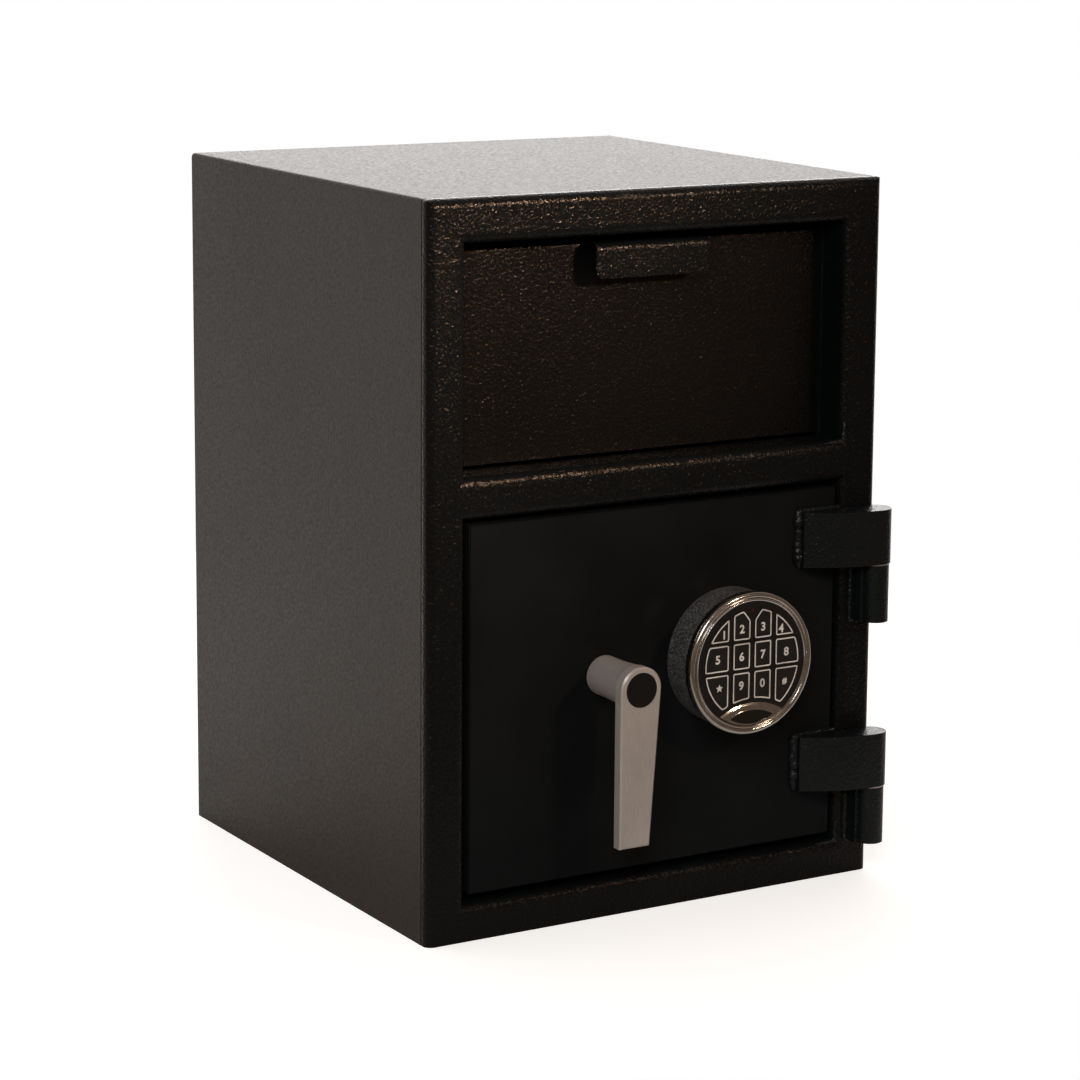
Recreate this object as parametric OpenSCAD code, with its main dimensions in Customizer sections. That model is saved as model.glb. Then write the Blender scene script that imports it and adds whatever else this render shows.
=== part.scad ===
// Drop safe with a tipping deposit drawer over a locked door.
// Millimetres. The origin is the middle of the cabinet's underside, the front faces -Y and Z is up.

/* [Cabinet] */
// Overall width of the cabinet
body_w = 360; // [350:1:400]
// Overall depth of the cabinet
body_d = 360; // [340:1:420]
// Overall height of the cabinet
body_h = 500; // [498:1:560]
// Thickness of the roof, side, floor and back sheet
wall_t = 3; // [2:0.5:4]
// Outer radius of the bend between roof and sides
roof_r = 3; // [1:0.5:6]
// Radius of each anchor hole in the floor
anchor_r = 7; // [5:0.5:9]
// Distance between anchor holes, side to side
anchor_x = 220; // [160:5:280]
// Distance between anchor holes, front to back
anchor_y = 220; // [160:5:260]

/* [Front frame] */
// Thickness of the folded front sheet
frame_t = 3; // [2:0.5:4]
// Depth of the folded edge that wraps round the front
frame_side = 8; // [6:0.5:12]
// Radius where the face turns back at its sides and its top
frame_r = 6; // [2:0.5:6]
// Radius where the face turns into each opening
mouth_r = 7; // [3:0.5:8]
// Width of the upright strips beside the openings
stile_w = 29.5; // [26:0.5:36]
// Height of the strip above the drawer
top_rail = 30; // [22:0.5:40]
// Height of the strip between drawer and door
mid_rail = 29; // [24:0.5:40]
// Height of the strip under the door
bottom_rail = 25.5; // [20:0.5:32]
// Height of the deposit opening
deposit_h = 154; // [148:1:156]
// Depth of the return round the deposit opening
deposit_return = 28; // [26:0.5:30]
// Depth of the return round the door opening
door_return = 18; // [17:0.5:18.5]

/* [Deposit drawer] */
// How far the closed panel sits behind the front
panel_recess = 30; // [30:0.5:34]
// Thickness of the drawer panel
panel_t = 3; // [2:0.5:4]
// Running gap at each end of the drawer
drawer_gap = 1; // [0.8:0.1:2]
// Gap under the closed panel
panel_gap = 2; // [1.5:0.5:3]
// Gap over the closed panel
panel_gap_top = 6.5; // [5:0.5:14]
// Distance of the pivot behind the panel's face
pivot_back = 10; // [9.5:0.5:12]
// Height of the pivot above the panel's lower edge
pivot_up = 8; // [7.5:0.5:9]
// Sheet thickness of the hopper tray
tray_t = 2; // [1.5:0.5:3]
// Slope of the closed tray floor, falling to the rear
tray_fall = 17; // [12:1:20]
// How far the tray floor reaches past its side walls
tray_hem = 7; // [5:0.5:8]
// How far the drawer tips open, in degrees
open_angle = 40; // [30:1:42]
// Radius of the pivot pins
pivot_r = 4; // [3:0.5:4]
// Width of the pull lip
lip_w = 90; // [60:1:140]
// How far the lip stands out from the panel
lip_out = 17; // [14:0.5:20]
// Height of the lip's front flange
lip_h = 24; // [16:0.5:30]
// Sheet thickness of the lip
lip_t = 2; // [1.5:0.5:3]
// Outer radius of the lip's top bend
lip_bend = 5; // [3.5:0.5:7]
// Radius of the lip's lower corners
lip_corner = 6; // [3:0.5:8]
// Depth of the flange along the baffle's lower edge
baffle_flange = 14; // [8:1:20]

/* [Door] */
// How far the door's face sits behind the front
door_recess = 2.5; // [1:0.5:4]
// Thickness of the door plate
door_t = 12; // [10:0.5:13]
// Gap between door and frame at each side
door_gap = 3.5; // [3.5:0.5:5]
// Gap over the door
door_gap_top = 4; // [2:0.5:6]
// Gap under the door
door_gap_low = 6; // [3:0.5:7]
// Thickness of the fixed bar on the hinge side
dead_bar_t = 6; // [5:0.5:7]
// How far the fixed bar reaches past the door's edge
dead_bar_out = 11; // [6:0.5:11]
// Length of the fixed bar
dead_bar_h = 190; // [120:5:200]

/* [Hinges] */
// Distance of the hinge axis in front of the face
hinge_out = 12.5; // [12:0.5:15]
// Distance of the hinge axis in from the cabinet's side
hinge_in = 7.8; // [6:0.2:12]
// Radius of the hinge barrels
barrel_r = 10.5; // [9:0.5:11]
// Radius of the hinge pins
hinge_pin_r = 5; // [4:0.5:6]
// Height of the door half of a hinge
strap_h = 39; // [34:1:46]
// Height of the cabinet half of a hinge
leaf_h = 41; // [34:1:46]
// Thickness of the washer between the halves
washer_t = 1.2; // [0.8:0.1:2]
// Length of a strap from the hinge axis to its free end
strap_l = 56; // [50:0.5:66]
// Thickness of a strap at its free end
strap_end = 7; // [5:0.5:14]
// Height of the lower hinge above the floor
lower_hinge = 25.5; // [22:0.5:32]
// Distance of the upper hinge under the top of the door opening
upper_hinge = 18.8; // [14:0.2:40]

/* [Handle] */
// Distance of the handle's axis from the lock edge of the door
handle_in = 104; // [100:1:112]
// Height of the handle's axis above the door's lower edge
handle_up = 139; // [132:1:146]
// Radius of the lever's round end
lever_r = 15.75; // [14:0.25:18]
// Length of the lever below its axis
lever_l = 108.5; // [80:0.5:120]
// Width of the lever's lower end
lever_tip = 23.6; // [16:0.2:28]
// Thickness of the lever
lever_t = 8; // [6:0.5:10]
// Bright chamfer round the lever's face
lever_edge = 1.2; // [0.6:0.2:2]
// Distance of the lever's face in front of the cabinet
lever_out = 47; // [42:0.5:56]
// Radius of the hub at the door
hub_r = 13.75; // [12:0.25:15]
// Radius of the black cap
cap_r = 12; // [10:0.25:12.5]
// Radius of the round part of the spindle
spindle_r = 6; // [5:0.5:7]
// Width of the spindle's square ends
spindle_sq = 8.4; // [7:0.2:8.4]

/* [Keypad] */
// Distance of the keypad's axis from the handle's axis
keypad_pitch = 98.8; // [92:0.2:104]
// Height of the keypad's axis above the handle's axis
keypad_rise = 3; // [0:0.5:6]
// Outer radius of the bright ring
ring_r = 50; // [48:0.5:52]
// Width of the bright ring
ring_w = 6.6; // [5.6:0.2:7.4]
// Distance of the key plate's face in front of the cabinet
pad_out = 31; // [30:0.5:34]
// Width of the two middle columns of keys
key_w = 13.8; // [12:0.2:14.2]
// Gap between key columns
key_gap = 3.6; // [3:0.2:4.4]
// Height of a row of keys
key_h = 18.4; // [17:0.2:18.8]
// How far a key stands out of its plate
key_out = 0.6; // [0.4:0.1:1]
// Travel of a key
key_travel = 0.8; // [0.5:0.1:1]

/* [Boltwork] */
// Radius of the live bolts
bolt_r = 10; // [8:0.5:10.5]
// Distance between the two live bolts
bolt_pitch = 124; // [110:1:132]
// Gap between a withdrawn bolt's tip and the door's edge
bolt_inset = 7; // [6:0.5:9]
// Length of a live bolt
bolt_l = 78; // [70:1:80]
// Throw of the crank pin from the spindle
crank_r = 18; // [17.5:0.25:18]
// Radius of the crank pin
crank_pin_r = 4; // [3:0.5:4.5]
// Thickness of the crank disc
crank_t = 5.5; // [4:0.5:5.5]
// Thickness of the carriage plate
carriage_t = 5; // [4:0.5:6]
// Width of the lock case
lock_w = 60; // [56:1:64]
// Height of the lock case
lock_h = 85; // [80:1:90]
// Depth of the lock case
lock_d = 32; // [28:1:33]
// Side of the lock's square bolt
lock_bolt_w = 12; // [10:0.5:12]
// Travel of the lock's bolt
lock_throw = 8; // [6:0.5:9]
// Sheet thickness of the boltwork cover
cover_t = 1.5; // [1:0.5:2]

/* [Fits] */
// Radial clearance of each pin, spindle and bolt in its bore
fit = 0.05; // [0.02:0.01:0.1]
// Gap between flat or curved faces that pass each other
ease = 0.3; // [0.2:0.05:0.4]

/* [Hidden] */
$fn = 64;

// Main planes, front to back
front_y = -body_d / 2;
back_y = body_d / 2;
back_inset = 1;
shell_y = front_y + frame_side;
door_y = front_y + door_recess;
door_back = door_y + door_t;
panel_y = front_y + panel_recess;

// Openings in the front
open_w = body_w - 2 * stile_w;
deposit_top = body_h - top_rail;
deposit_low = deposit_top - deposit_h;
door_open_top = deposit_low - mid_rail;
roof_z = body_h - wall_t;
roof_inner_r = max(roof_r - wall_t, 0.5);
// Share of the mouth's radius that backs up the sheet where it bends into an opening
bend_share = 0.4;

// Door plate
door_w = open_w - 2 * door_gap;
door_low = bottom_rail + door_gap_low;
door_top = door_open_top - door_gap_top;
door_left = -door_w / 2;
door_edge = 0.8;
dead_bar_in = 16;
// Room behind the return for the fixed bar as the door swings
dead_bar_space = 6;

// Drawer
drawer_w = open_w - 2 * drawer_gap;
panel_low = deposit_low + panel_gap;
panel_h = deposit_h - panel_gap - panel_gap_top;
pivot_y = panel_y + pivot_back;
pivot_z = panel_low + pivot_up;
sector_r = panel_h - pivot_up;
hem_r = sector_r + tray_hem;
hub_pivot_r = min(pivot_back - panel_t, pivot_up) - 0.5;
hub_pivot_l = 8;
panel_hem = 12;
// The tray floor's upper face passes this far under the pivot
floor_drop = hub_pivot_r;
stop_w = 12;
// Distance of a stop's near end from the rear edge of the tray's floor
stop_back = 31.8;
stop_t = 8;
stop_l = 20;
// Upper rear corner of the tray's hem, turned to the full opening
hem_angle = asin(floor_drop / hem_r) + tray_fall;
hem_y = hem_r * cos(open_angle - hem_angle);
hem_z = hem_r * sin(open_angle - hem_angle);
baffle_t = 2;
baffle_y = pivot_y + hem_y - baffle_t;
baffle_z = pivot_z + hem_z + 2 * ease;
chute_t = 3;
chute_x = open_w / 2;
chute_rear = baffle_y + baffle_flange + 4;
chute_low = 24;
pivot_head_r = pivot_r + 3;
pivot_head_t = 2;

// Hinges
leaf_z = [lower_hinge, door_open_top - upper_hinge - strap_h - washer_t - leaf_h];
hinge_x = body_w / 2 - hinge_in;
hinge_y = front_y - hinge_out;
leaf_reach = 12.5;
leaf_r = barrel_r - 0.8;
pin_in_leaf = leaf_h - 6;
pin_in_strap = strap_h - 8;
strap_drop = (hinge_out + barrel_r) - (strap_end - door_recess);
strap_arc = (strap_l * strap_l + strap_drop * strap_drop) / (2 * strap_drop);

// Handle and spindle
handle_x = door_left + handle_in;
handle_z = door_low + handle_up;
lever_y = front_y - lever_out;
lever_back = lever_y + lever_t;
hub_y = door_y - ease;
// Distances behind the lever where the hub's cone ends and its straight part starts
hub_cone = 16;
hub_straight = 26;
cap_t = 3;
cap_sink = 0.5;
screw_r = 3;
screw_head_r = 5;
screw_head_t = 3.5;
screw_l = 12;
socket_y = hub_y - 5.5;
socket_end = lever_y + cap_t + cap_sink + screw_head_t + 4;
bush_r = spindle_r + 2.5;
bush_flange_r = spindle_r + 6;
bush_flange_t = 1.2;

// Boltwork, from the door's back towards the rear
keeper_t = 4;
keeper_w = 15;
keeper_margin = 20;
bolt_play = 0.8;
crank_y = door_back + bush_flange_t + ease;
crank_back = crank_y + crank_t;
crank_disc_r = crank_r + crank_pin_r + 2;
bolt_front = front_y + door_return + keeper_t + bolt_play;
bolt_y = bolt_front + bolt_r;
carriage_y = max(bolt_front, crank_back + 0.8);
carriage_back = carriage_y + carriage_t;
crank_pin_y = carriage_back + 1.2;
crank_swing = 45;
bolt_throw = 2 * crank_r * sin(crank_swing);
slot_play = 0.75;
pin_x = handle_x + crank_r * sin(crank_swing);
pin_z = handle_z - crank_r * cos(crank_swing);
pin_low = handle_z - crank_r;
bolt_tip = door_left + bolt_inset;
leg_x = bolt_tip + bolt_l;
leg_t = 5;
leg_back = bolt_y + bolt_r;
leg_margin = 16;
strip_w = 10;
yoke_right = pin_x + crank_pin_r + 7;
yoke_top = handle_z - screw_head_r - 3;
yoke_low = pin_low - crank_pin_r - 8;
guide_t = 4;
guide_x = bolt_tip + 6;
guide_foot = 12;
guide_margin = 22;
bolt_screw_r = 4;
bolt_screw_head_r = 6.5;
bolt_screw_head_t = 5;
bolt_screw_l = 22;

// Lock
lock_x = handle_x + keypad_pitch;
lock_z = handle_z + keypad_rise;
lock_low = lock_z - lock_h / 2;
lock_bolt_l = 24;
lock_bolt_y = carriage_y - 3.5;
tab_w = bolt_throw - lock_bolt_w - 2 * 2.7;
tab_x = lock_x + lock_bolt_w / 2 + 2.7;
tab_top = lock_low - 2.2;
arm_top = lock_low - lock_throw - 4;
arm_h = 16;
arm_low = arm_top - arm_h;
stud_r = 4;
stud_pitch = 48;
stud_x = handle_x + stud_pitch;
stud_z = arm_low + arm_h / 2;
lock_screw_r = 3;
lock_screw_x = 41.3;
lock_screw_z = 66.7;
lock_head_t = 2;

// Cover over the boltwork
cover_y = max(door_back + lock_d + lock_head_t, leg_back) + 2.5;
cover_right = door_w / 2 - dead_bar_in - 2;
cover_low = door_low + 14;
cover_top = door_top - 12;
cover_flange = 10;
cover_screw_r = 2;
cover_screw_in = [16, 30];

// Keypad
key_x = lock_x;
key_z = lock_z;
pad_y = front_y - pad_out;
pad_t = 3;
pad_r = ring_r - ring_w;
base_r = ring_r - 1.5;
base_t = 2.5;
ring_bead = 2.3;
ring_d = 7;
base_y = pad_y + ring_d;
// Radius of the circle round the keys, a margin inside the plate
key_circle = pad_r - 4.9;
key_flange = 1;
key_ease = 0.25;
// The light between keys 2 and 3, and the distance and slope of their cut corners
light_z = key_circle - 0.8;
light_r = 1.1;
light_out = 0.3;
light_room = 5.7;
light_turn = 52;
key_low = -3.1;
row_gap = 2.2;
arch_r = 49;
// The arch over the badge stands this high above the foot of the plate
arch_h = 15.9;
arch_z = arch_h - arch_r - pad_r;
arch_margin = 3;
badge_w = 35;
badge_h = 9.4;
badge_drop = 1.9;
trim_out = 0.8;
trim_sink = 1;
trim_chamfer = 1.4;
rim_w = 0.7;
rim_out = 0.3;
insert_out = 0.6;
lead_r = 2;
board_y = pad_y + pad_t + key_flange + key_travel + 0.4;
board_t = 1.6;
board_r = pad_r - 1;
keypad_screw_r = 2;
keypad_screw_pitch = 2 * (base_r - 18.5);
battery_w = 48.5;
battery_h = 26.5;
battery_t = 17.5;
battery_top = base_r - 14;

// A flat shape in X and Z, standing from y towards the rear by t
module facing(y, t) {
    translate([0, y + t, 0]) rotate([90, 0, 0]) linear_extrude(t) children();
}

// A flat shape in Y and Z, standing from x towards +X by t
module across(x, t) {
    translate([x, 0, 0]) rotate([90, 0, 90]) linear_extrude(t) children();
}

// A flat shape in X and Y, standing from z upwards by t
module upright(z, t) {
    translate([0, 0, z]) linear_extrude(t) children();
}

// A round bar along Y, from y towards the rear
module bar_y(x, z, y, l, r) {
    translate([x, y, z]) rotate([-90, 0, 0]) cylinder(h = l, r = r);
}

// A round bar along X, from x towards +X
module bar_x(x, y, z, l, r) {
    translate([x, y, z]) rotate([0, 90, 0]) cylinder(h = l, r = r);
}

// A profile of radius and depth turned round an axis along Y
module turned_y(x, z, y) {
    translate([x, y, z]) rotate([-90, 0, 0]) rotate_extrude() children();
}

// A block between two corners
module block(low, high) {
    translate(low) cube(high - low);
}

// A rectangle between two corners with rounded corners
module round_rect(low, high, r) {
    translate([low[0] + r, low[1]]) square([high[0] - low[0] - 2 * r, high[1] - low[1]]);
    translate([low[0], low[1] + r]) square([high[0] - low[0], high[1] - low[1] - 2 * r]);
    for (x = [low[0] + r, high[0] - r], y = [low[1] + r, high[1] - r])
        translate([x, y]) circle(r);
}

// An opening of width w whose front edge flares out by a quarter round
module flared(w, r, depth) {
    translate([-w / 2, front_y - 1]) square([w, depth + 1]);
    difference() {
        translate([-w / 2 - r, front_y - 1]) square([w + 2 * r, r + 1]);
        for (s = [-1, 1]) translate([s * (w / 2 + r), front_y + r]) circle(r);
    }
}

// The cut for one opening: a rectangle that flares at the face on all four sides
module mouth(low_z, high_z) {
    w = high_z - low_z;
    intersection() {
        upright(low_z - mouth_r - 1, w + 2 * mouth_r + 2) flared(open_w, mouth_r, body_d / 4);
        translate([0, 0, (low_z + high_z) / 2]) rotate([0, 90, 0])
            translate([0, 0, -open_w / 2 - mouth_r - 1])
                linear_extrude(open_w + 2 * mouth_r + 2) flared(w, mouth_r, body_d / 4);
    }
}

// The front's outer form, or its hollow when inset by the sheet's thickness
module front_form(inset) {
    r = max(frame_r - inset, 0.5);
    low_y = front_y + inset;
    rear_y = shell_y + 2 * frame_r;
    intersection() {
        upright(inset, body_h) round_rect([-body_w / 2 + inset, low_y], [body_w / 2 - inset, rear_y], r);
        across(-body_w / 2 - 1, body_w + 2) round_rect([low_y, -2 * frame_r], [rear_y, body_h - inset], r);
        facing(front_y - 1, rear_y - front_y + 2) roof_outline(inset, max(roof_r - inset, 0.5));
    }
}

module front_frame() {
    bend_fill = frame_t + bend_share * mouth_r;
    color("#171514") difference() {
        union() {
            difference() {
                front_form(0);
                front_form(frame_t);
                block([-body_w / 2 - 1, shell_y, -1], [body_w / 2 + 1, back_y, body_h + 1]);
            }
            return_box(deposit_low, deposit_top, frame_t, deposit_return);
            return_box(bottom_rail, door_open_top, frame_t, door_return);
            return_box(deposit_low, deposit_top, bend_fill, bend_fill);
            return_box(bottom_rail, door_open_top, bend_fill, bend_fill);
        }
        mouth(deposit_low, deposit_top);
        mouth(bottom_rail, door_open_top);
    }
}

// The folded return round one opening, before the opening is cut
module return_box(low_z, high_z, t, depth) {
    block([-open_w / 2 - t, front_y + frame_t / 2, low_z - t],
          [open_w / 2 + t, front_y + depth, high_z + t]);
}

// Outline of the roof and sides with a rounded bend at each top corner
module roof_outline(inset, r) {
    hw = body_w / 2 - inset;
    top = body_h - inset;
    translate([-hw, 0]) square([2 * hw, top - r]);
    translate([-hw + r, 0]) square([2 * (hw - r), top]);
    for (s = [-1, 1]) translate([s * (hw - r), top - r]) circle(r);
}

module body_shell() {
    groove = 0.5;
    color("#1c1b1a") difference() {
        union() {
            facing(shell_y, 1) roof_outline(groove, roof_r);
            facing(shell_y + 1, body_d - frame_side - 1) roof_outline(0, roof_r);
        }
        facing(shell_y - 1, body_d) roof_outline(wall_t, roof_inner_r);
    }
}

module back_plate() {
    color("#1c1b1a") facing(back_y - back_inset - wall_t, wall_t) intersection() {
        roof_outline(wall_t, roof_inner_r);
        translate([-body_w / 2, wall_t]) square([body_w, body_h]);
    }
}

module bottom_plate() {
    color("#1c1b1a") difference() {
        block([-body_w / 2 + wall_t, shell_y, 0], [body_w / 2 - wall_t, back_y, wall_t]);
        for (x = [-1, 1] * anchor_x / 2, y = [-1, 1] * anchor_y / 2)
            translate([x, y, -1]) cylinder(h = wall_t + 2, r = anchor_r);
    }
}

module bolt_keeper() {
    color("#2b2b2b")
        block([-open_w / 2 - keeper_w, front_y + door_return, handle_z - bolt_pitch / 2 - keeper_margin],
              [-open_w / 2, front_y + door_return + keeper_t, handle_z + bolt_pitch / 2 + keeper_margin]);
}

// Side of the deposit chute: it carries a pivot pin and stops reaching round the drawer
module chute_side() {
    rear_low = pivot_z - (chute_rear - pivot_y) * tan(tray_fall) - chute_low;
    difference() {
        across(0, chute_t) polygon([
            [front_y + deposit_return, roof_z], [chute_rear, roof_z],
            [chute_rear, rear_low], [front_y + deposit_return, pivot_z - chute_low]]);
        bar_x(-1, pivot_y, pivot_z, chute_t + 2, pivot_r + fit);
    }
}

module chute_side_right() {
    color("#242424") translate([chute_x, 0, 0]) chute_side();
}

module chute_side_left() {
    color("#242424") translate([-chute_x - chute_t, 0, 0]) chute_side();
}

module anti_fish_baffle() {
    color("#242424") difference() {
        block([-chute_x, baffle_y, baffle_z], [chute_x, baffle_y + baffle_flange, roof_z]);
        block([-chute_x - 1, baffle_y + baffle_t, baffle_z + baffle_t],
              [chute_x + 1, baffle_y + baffle_flange + 1, roof_z + 1]);
    }
}

module drawer_pivot_pins() {
    color("silver") for (s = [0, 1]) mirror([s, 0, 0]) {
        bar_x(drawer_w / 2 - hub_pivot_l, pivot_y, pivot_z,
              chute_x + chute_t - drawer_w / 2 + hub_pivot_l, pivot_r);
        bar_x(chute_x + chute_t, pivot_y, pivot_z, pivot_head_t, pivot_head_r);
    }
}

// Places a shape drawn along the tray floor: origin under the pivot, x along the fall
module on_floor() {
    translate([pivot_y, pivot_z]) rotate(-tray_fall) children();
}

module drawer_stops() {
    color("dimgray") for (s = [0, 1]) mirror([s, 0, 0])
        across(chute_x - stop_w, stop_w) on_floor()
            translate([hem_r - stop_back, -floor_drop - tray_t - ease - stop_t]) square([stop_l, stop_t]);
}

// Cabinet half of a hinge: a block welded to the frame that carries the lower barrel
module hinge_leaf(z) {
    difference() {
        union() {
            translate([hinge_x, hinge_y, z]) cylinder(h = leaf_h, r = leaf_r);
            block([hinge_x - leaf_reach, hinge_y, z], [hinge_x, front_y, z + leaf_h]);
        }
        translate([hinge_x, hinge_y, z + leaf_h - pin_in_leaf])
            cylinder(h = pin_in_leaf + 1, r = hinge_pin_r + fit);
    }
}

module hinge_leaf_upper() {
    color("#1a1817") hinge_leaf(leaf_z[1]);
}

module hinge_leaf_lower() {
    color("#1a1817") hinge_leaf(leaf_z[0]);
}

module hinge_pins() {
    color("silver") for (z = leaf_z)
        translate([hinge_x, hinge_y, z + leaf_h - pin_in_leaf])
            cylinder(h = pin_in_leaf + washer_t + pin_in_strap, r = hinge_pin_r);
}

module hinge_washers() {
    color("silver") for (z = leaf_z)
        translate([hinge_x, hinge_y, z + leaf_h]) difference() {
            cylinder(h = washer_t, r = barrel_r - 1);
            translate([0, 0, -1]) cylinder(h = washer_t + 2, r = hinge_pin_r + fit);
        }
}

// Door half of a hinge: a strap that swells in one long curve into the upper barrel
module hinge_strap(z) {
    end_x = hinge_x - strap_l;
    front = hinge_y - barrel_r;
    difference() {
        upright(z, strap_h) {
            translate([hinge_x, hinge_y]) circle(barrel_r);
            intersection() {
                translate([hinge_x, front + strap_arc]) circle(strap_arc, $fn = 256);
                union() {
                    translate([end_x, front]) square([strap_l, hinge_y + barrel_r - front]);
                    translate([end_x, front]) square([door_w / 2 - end_x - 1, door_y - front]);
                }
            }
        }
        translate([hinge_x, hinge_y, z - 1]) cylinder(h = pin_in_strap + 1.5, r = hinge_pin_r + fit);
    }
}

module hinge_strap_upper() {
    color("#1a1817") hinge_strap(leaf_z[1] + leaf_h + washer_t);
}

module hinge_strap_lower() {
    color("#1a1817") hinge_strap(leaf_z[0] + leaf_h + washer_t);
}

module door_plate() {
    color("#101010") difference() {
        union() {
            facing(door_y, door_edge) round_rect([door_left + door_edge, door_low + door_edge],
                                                 [-door_left - door_edge, door_top - door_edge], 1);
            facing(door_y + door_edge, door_t - door_edge)
                round_rect([door_left, door_low], [-door_left, door_top], 1.5);
        }
        bar_y(handle_x, handle_z, door_y - 1, door_t + 2, bush_r + fit);
        bar_y(key_x, key_z, door_y - 1, door_t + 2, lead_r + 4);
    }
}

// Angle welded to the door's back whose outer leg hides behind the hinge-side return
module dead_bar() {
    back = front_y + door_return + dead_bar_space + dead_bar_t;
    color("silver") upright(lock_z - 15 - dead_bar_h / 2, dead_bar_h) {
        translate([door_w / 2 - dead_bar_in, door_back]) square([dead_bar_t, back - door_back]);
        translate([door_w / 2 - dead_bar_in, back - dead_bar_t])
            square([dead_bar_in + dead_bar_out, dead_bar_t]);
    }
}

// Angle on the door's back with one bore for each live bolt
module bolt_guide() {
    low = handle_z - bolt_pitch / 2 - guide_margin;
    high = handle_z + bolt_pitch / 2 + guide_margin;
    color("gainsboro") difference() {
        union() {
            block([guide_x, door_back, low], [guide_x + guide_t, cover_y, high]);
            block([guide_x, door_back, low], [guide_x + guide_foot, door_back + 3, high]);
        }
        for (s = [-1, 1])
            bar_x(guide_x - 1, bolt_y, handle_z + s * bolt_pitch / 2, guide_foot + 2, bolt_r + fit);
    }
}

// Shoulder screw that carries the free end of the carriage's arm
module carriage_stud() {
    color("silver") {
        bar_y(stud_x, stud_z, door_back, carriage_y - ease - door_back, stud_r + 3);
        bar_y(stud_x, stud_z, door_back, carriage_back + ease - door_back, stud_r);
        bar_y(stud_x, stud_z, carriage_back + ease, 3, stud_r + 3);
    }
}

module spindle_bush() {
    color("goldenrod") turned_y(handle_x, handle_z, door_y) difference() {
        union() {
            square([bush_r, door_t]);
            translate([0, door_t]) square([bush_flange_r, bush_flange_t]);
        }
        translate([-1, -1]) square([spindle_r + fit + 1, door_t + bush_flange_t + 2]);
    }
}

// Four places on the lock case
module at_lock_screws() {
    for (x = [-1, 1] * lock_screw_x / 2, z = [-1, 1] * lock_screw_z / 2)
        translate([lock_x + x, 0, lock_z + z]) children();
}

module lock_body() {
    half = lock_bolt_w / 2 + ease;
    color("silver") difference() {
        facing(door_back, lock_d) round_rect([lock_x - lock_w / 2, lock_low],
                                             [lock_x + lock_w / 2, lock_low + lock_h], 4);
        block([lock_x - half, lock_bolt_y - ease, lock_low - 1],
              [lock_x + half, lock_bolt_y + lock_bolt_w + ease, lock_low + lock_bolt_l + ease]);
        at_lock_screws() bar_y(0, 0, door_back - 1, lock_d + 2, lock_screw_r + fit);
        bar_y(lock_x, lock_z, door_back - 1, 8, lead_r + 1);
    }
}

module lock_screws() {
    color("dimgray") at_lock_screws() {
        bar_y(0, 0, door_back, lock_d, lock_screw_r);
        bar_y(0, 0, door_back + lock_d, lock_head_t, lock_screw_r + 2);
    }
}

// The lock's own bolt, drawn back into its case
module lock_bolt() {
    color("gold") block([lock_x - lock_bolt_w / 2, lock_bolt_y, lock_low - 1],
                        [lock_x + lock_bolt_w / 2, lock_bolt_y + lock_bolt_w, lock_low + lock_bolt_l - 1]);
}

// Corners of the cover's flanges
cover_screw_x = [guide_x + guide_foot + cover_screw_in[0], cover_right - cover_screw_in[1]];
cover_screw_z = [cover_low - cover_flange / 2, cover_top + cover_flange / 2];

module boltwork_cover() {
    left = guide_x + guide_t + ease;
    color("#202020") difference() {
        union() {
            block([left, door_back, cover_low], [cover_right, cover_y, cover_top]);
            block([left + guide_foot, door_back, cover_low - cover_flange],
                  [cover_right, door_back + cover_t, cover_top + cover_flange]);
        }
        block([left - 1, door_back - 1, cover_low + cover_t],
              [cover_right - cover_t, cover_y - cover_t, cover_top - cover_t]);
        for (x = cover_screw_x, z = cover_screw_z)
            bar_y(x, z, door_back - 1, cover_t + 2, cover_screw_r + fit);
    }
}

module cover_screws() {
    color("silver") for (x = cover_screw_x, z = cover_screw_z) {
        bar_y(x, z, door_back, cover_t, cover_screw_r);
        bar_y(x, z, door_back + cover_t, 1.6, cover_screw_r + 2);
    }
}

module keypad_base() {
    floor_y = door_y - base_t;
    color("#252525") difference() {
        turned_y(key_x, key_z, base_y) polygon([
            [0, 0], [base_r, 0], [base_r - 0.8, door_y - base_y - 1],
            [base_r - 1.2, door_y - base_y], [0, door_y - base_y]]);
        bar_y(key_x, key_z, base_y - 1, floor_y - base_y + 1, base_r - 3.5);
        bar_y(key_x, key_z, floor_y - 1, base_t + 2, lead_r + 4);
        for (s = [-1, 1])
            bar_y(key_x + s * keypad_screw_pitch / 2, key_z, floor_y - 1, base_t + 2, keypad_screw_r + fit);
    }
}

// The bright ring: a rounded rim, a groove and a bevel that runs in to the key plate
module keypad_ring() {
    color("gainsboro") turned_y(key_x, key_z, pad_y) difference() {
        union() {
            translate([ring_r - ring_bead, ring_bead - 0.6]) circle(ring_bead);
            polygon([[pad_r, 0.4], [pad_r + 0.6, -0.4], [ring_r - 2 * ring_bead, -1],
                     [ring_r - ring_bead, ring_bead], [ring_r, ring_bead],
                     [ring_r - 0.5, ring_d], [pad_r, ring_d]]);
        }
        translate([ring_r - 2 * ring_bead - 0.2, -0.9]) circle(0.55);
    }
}

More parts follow.
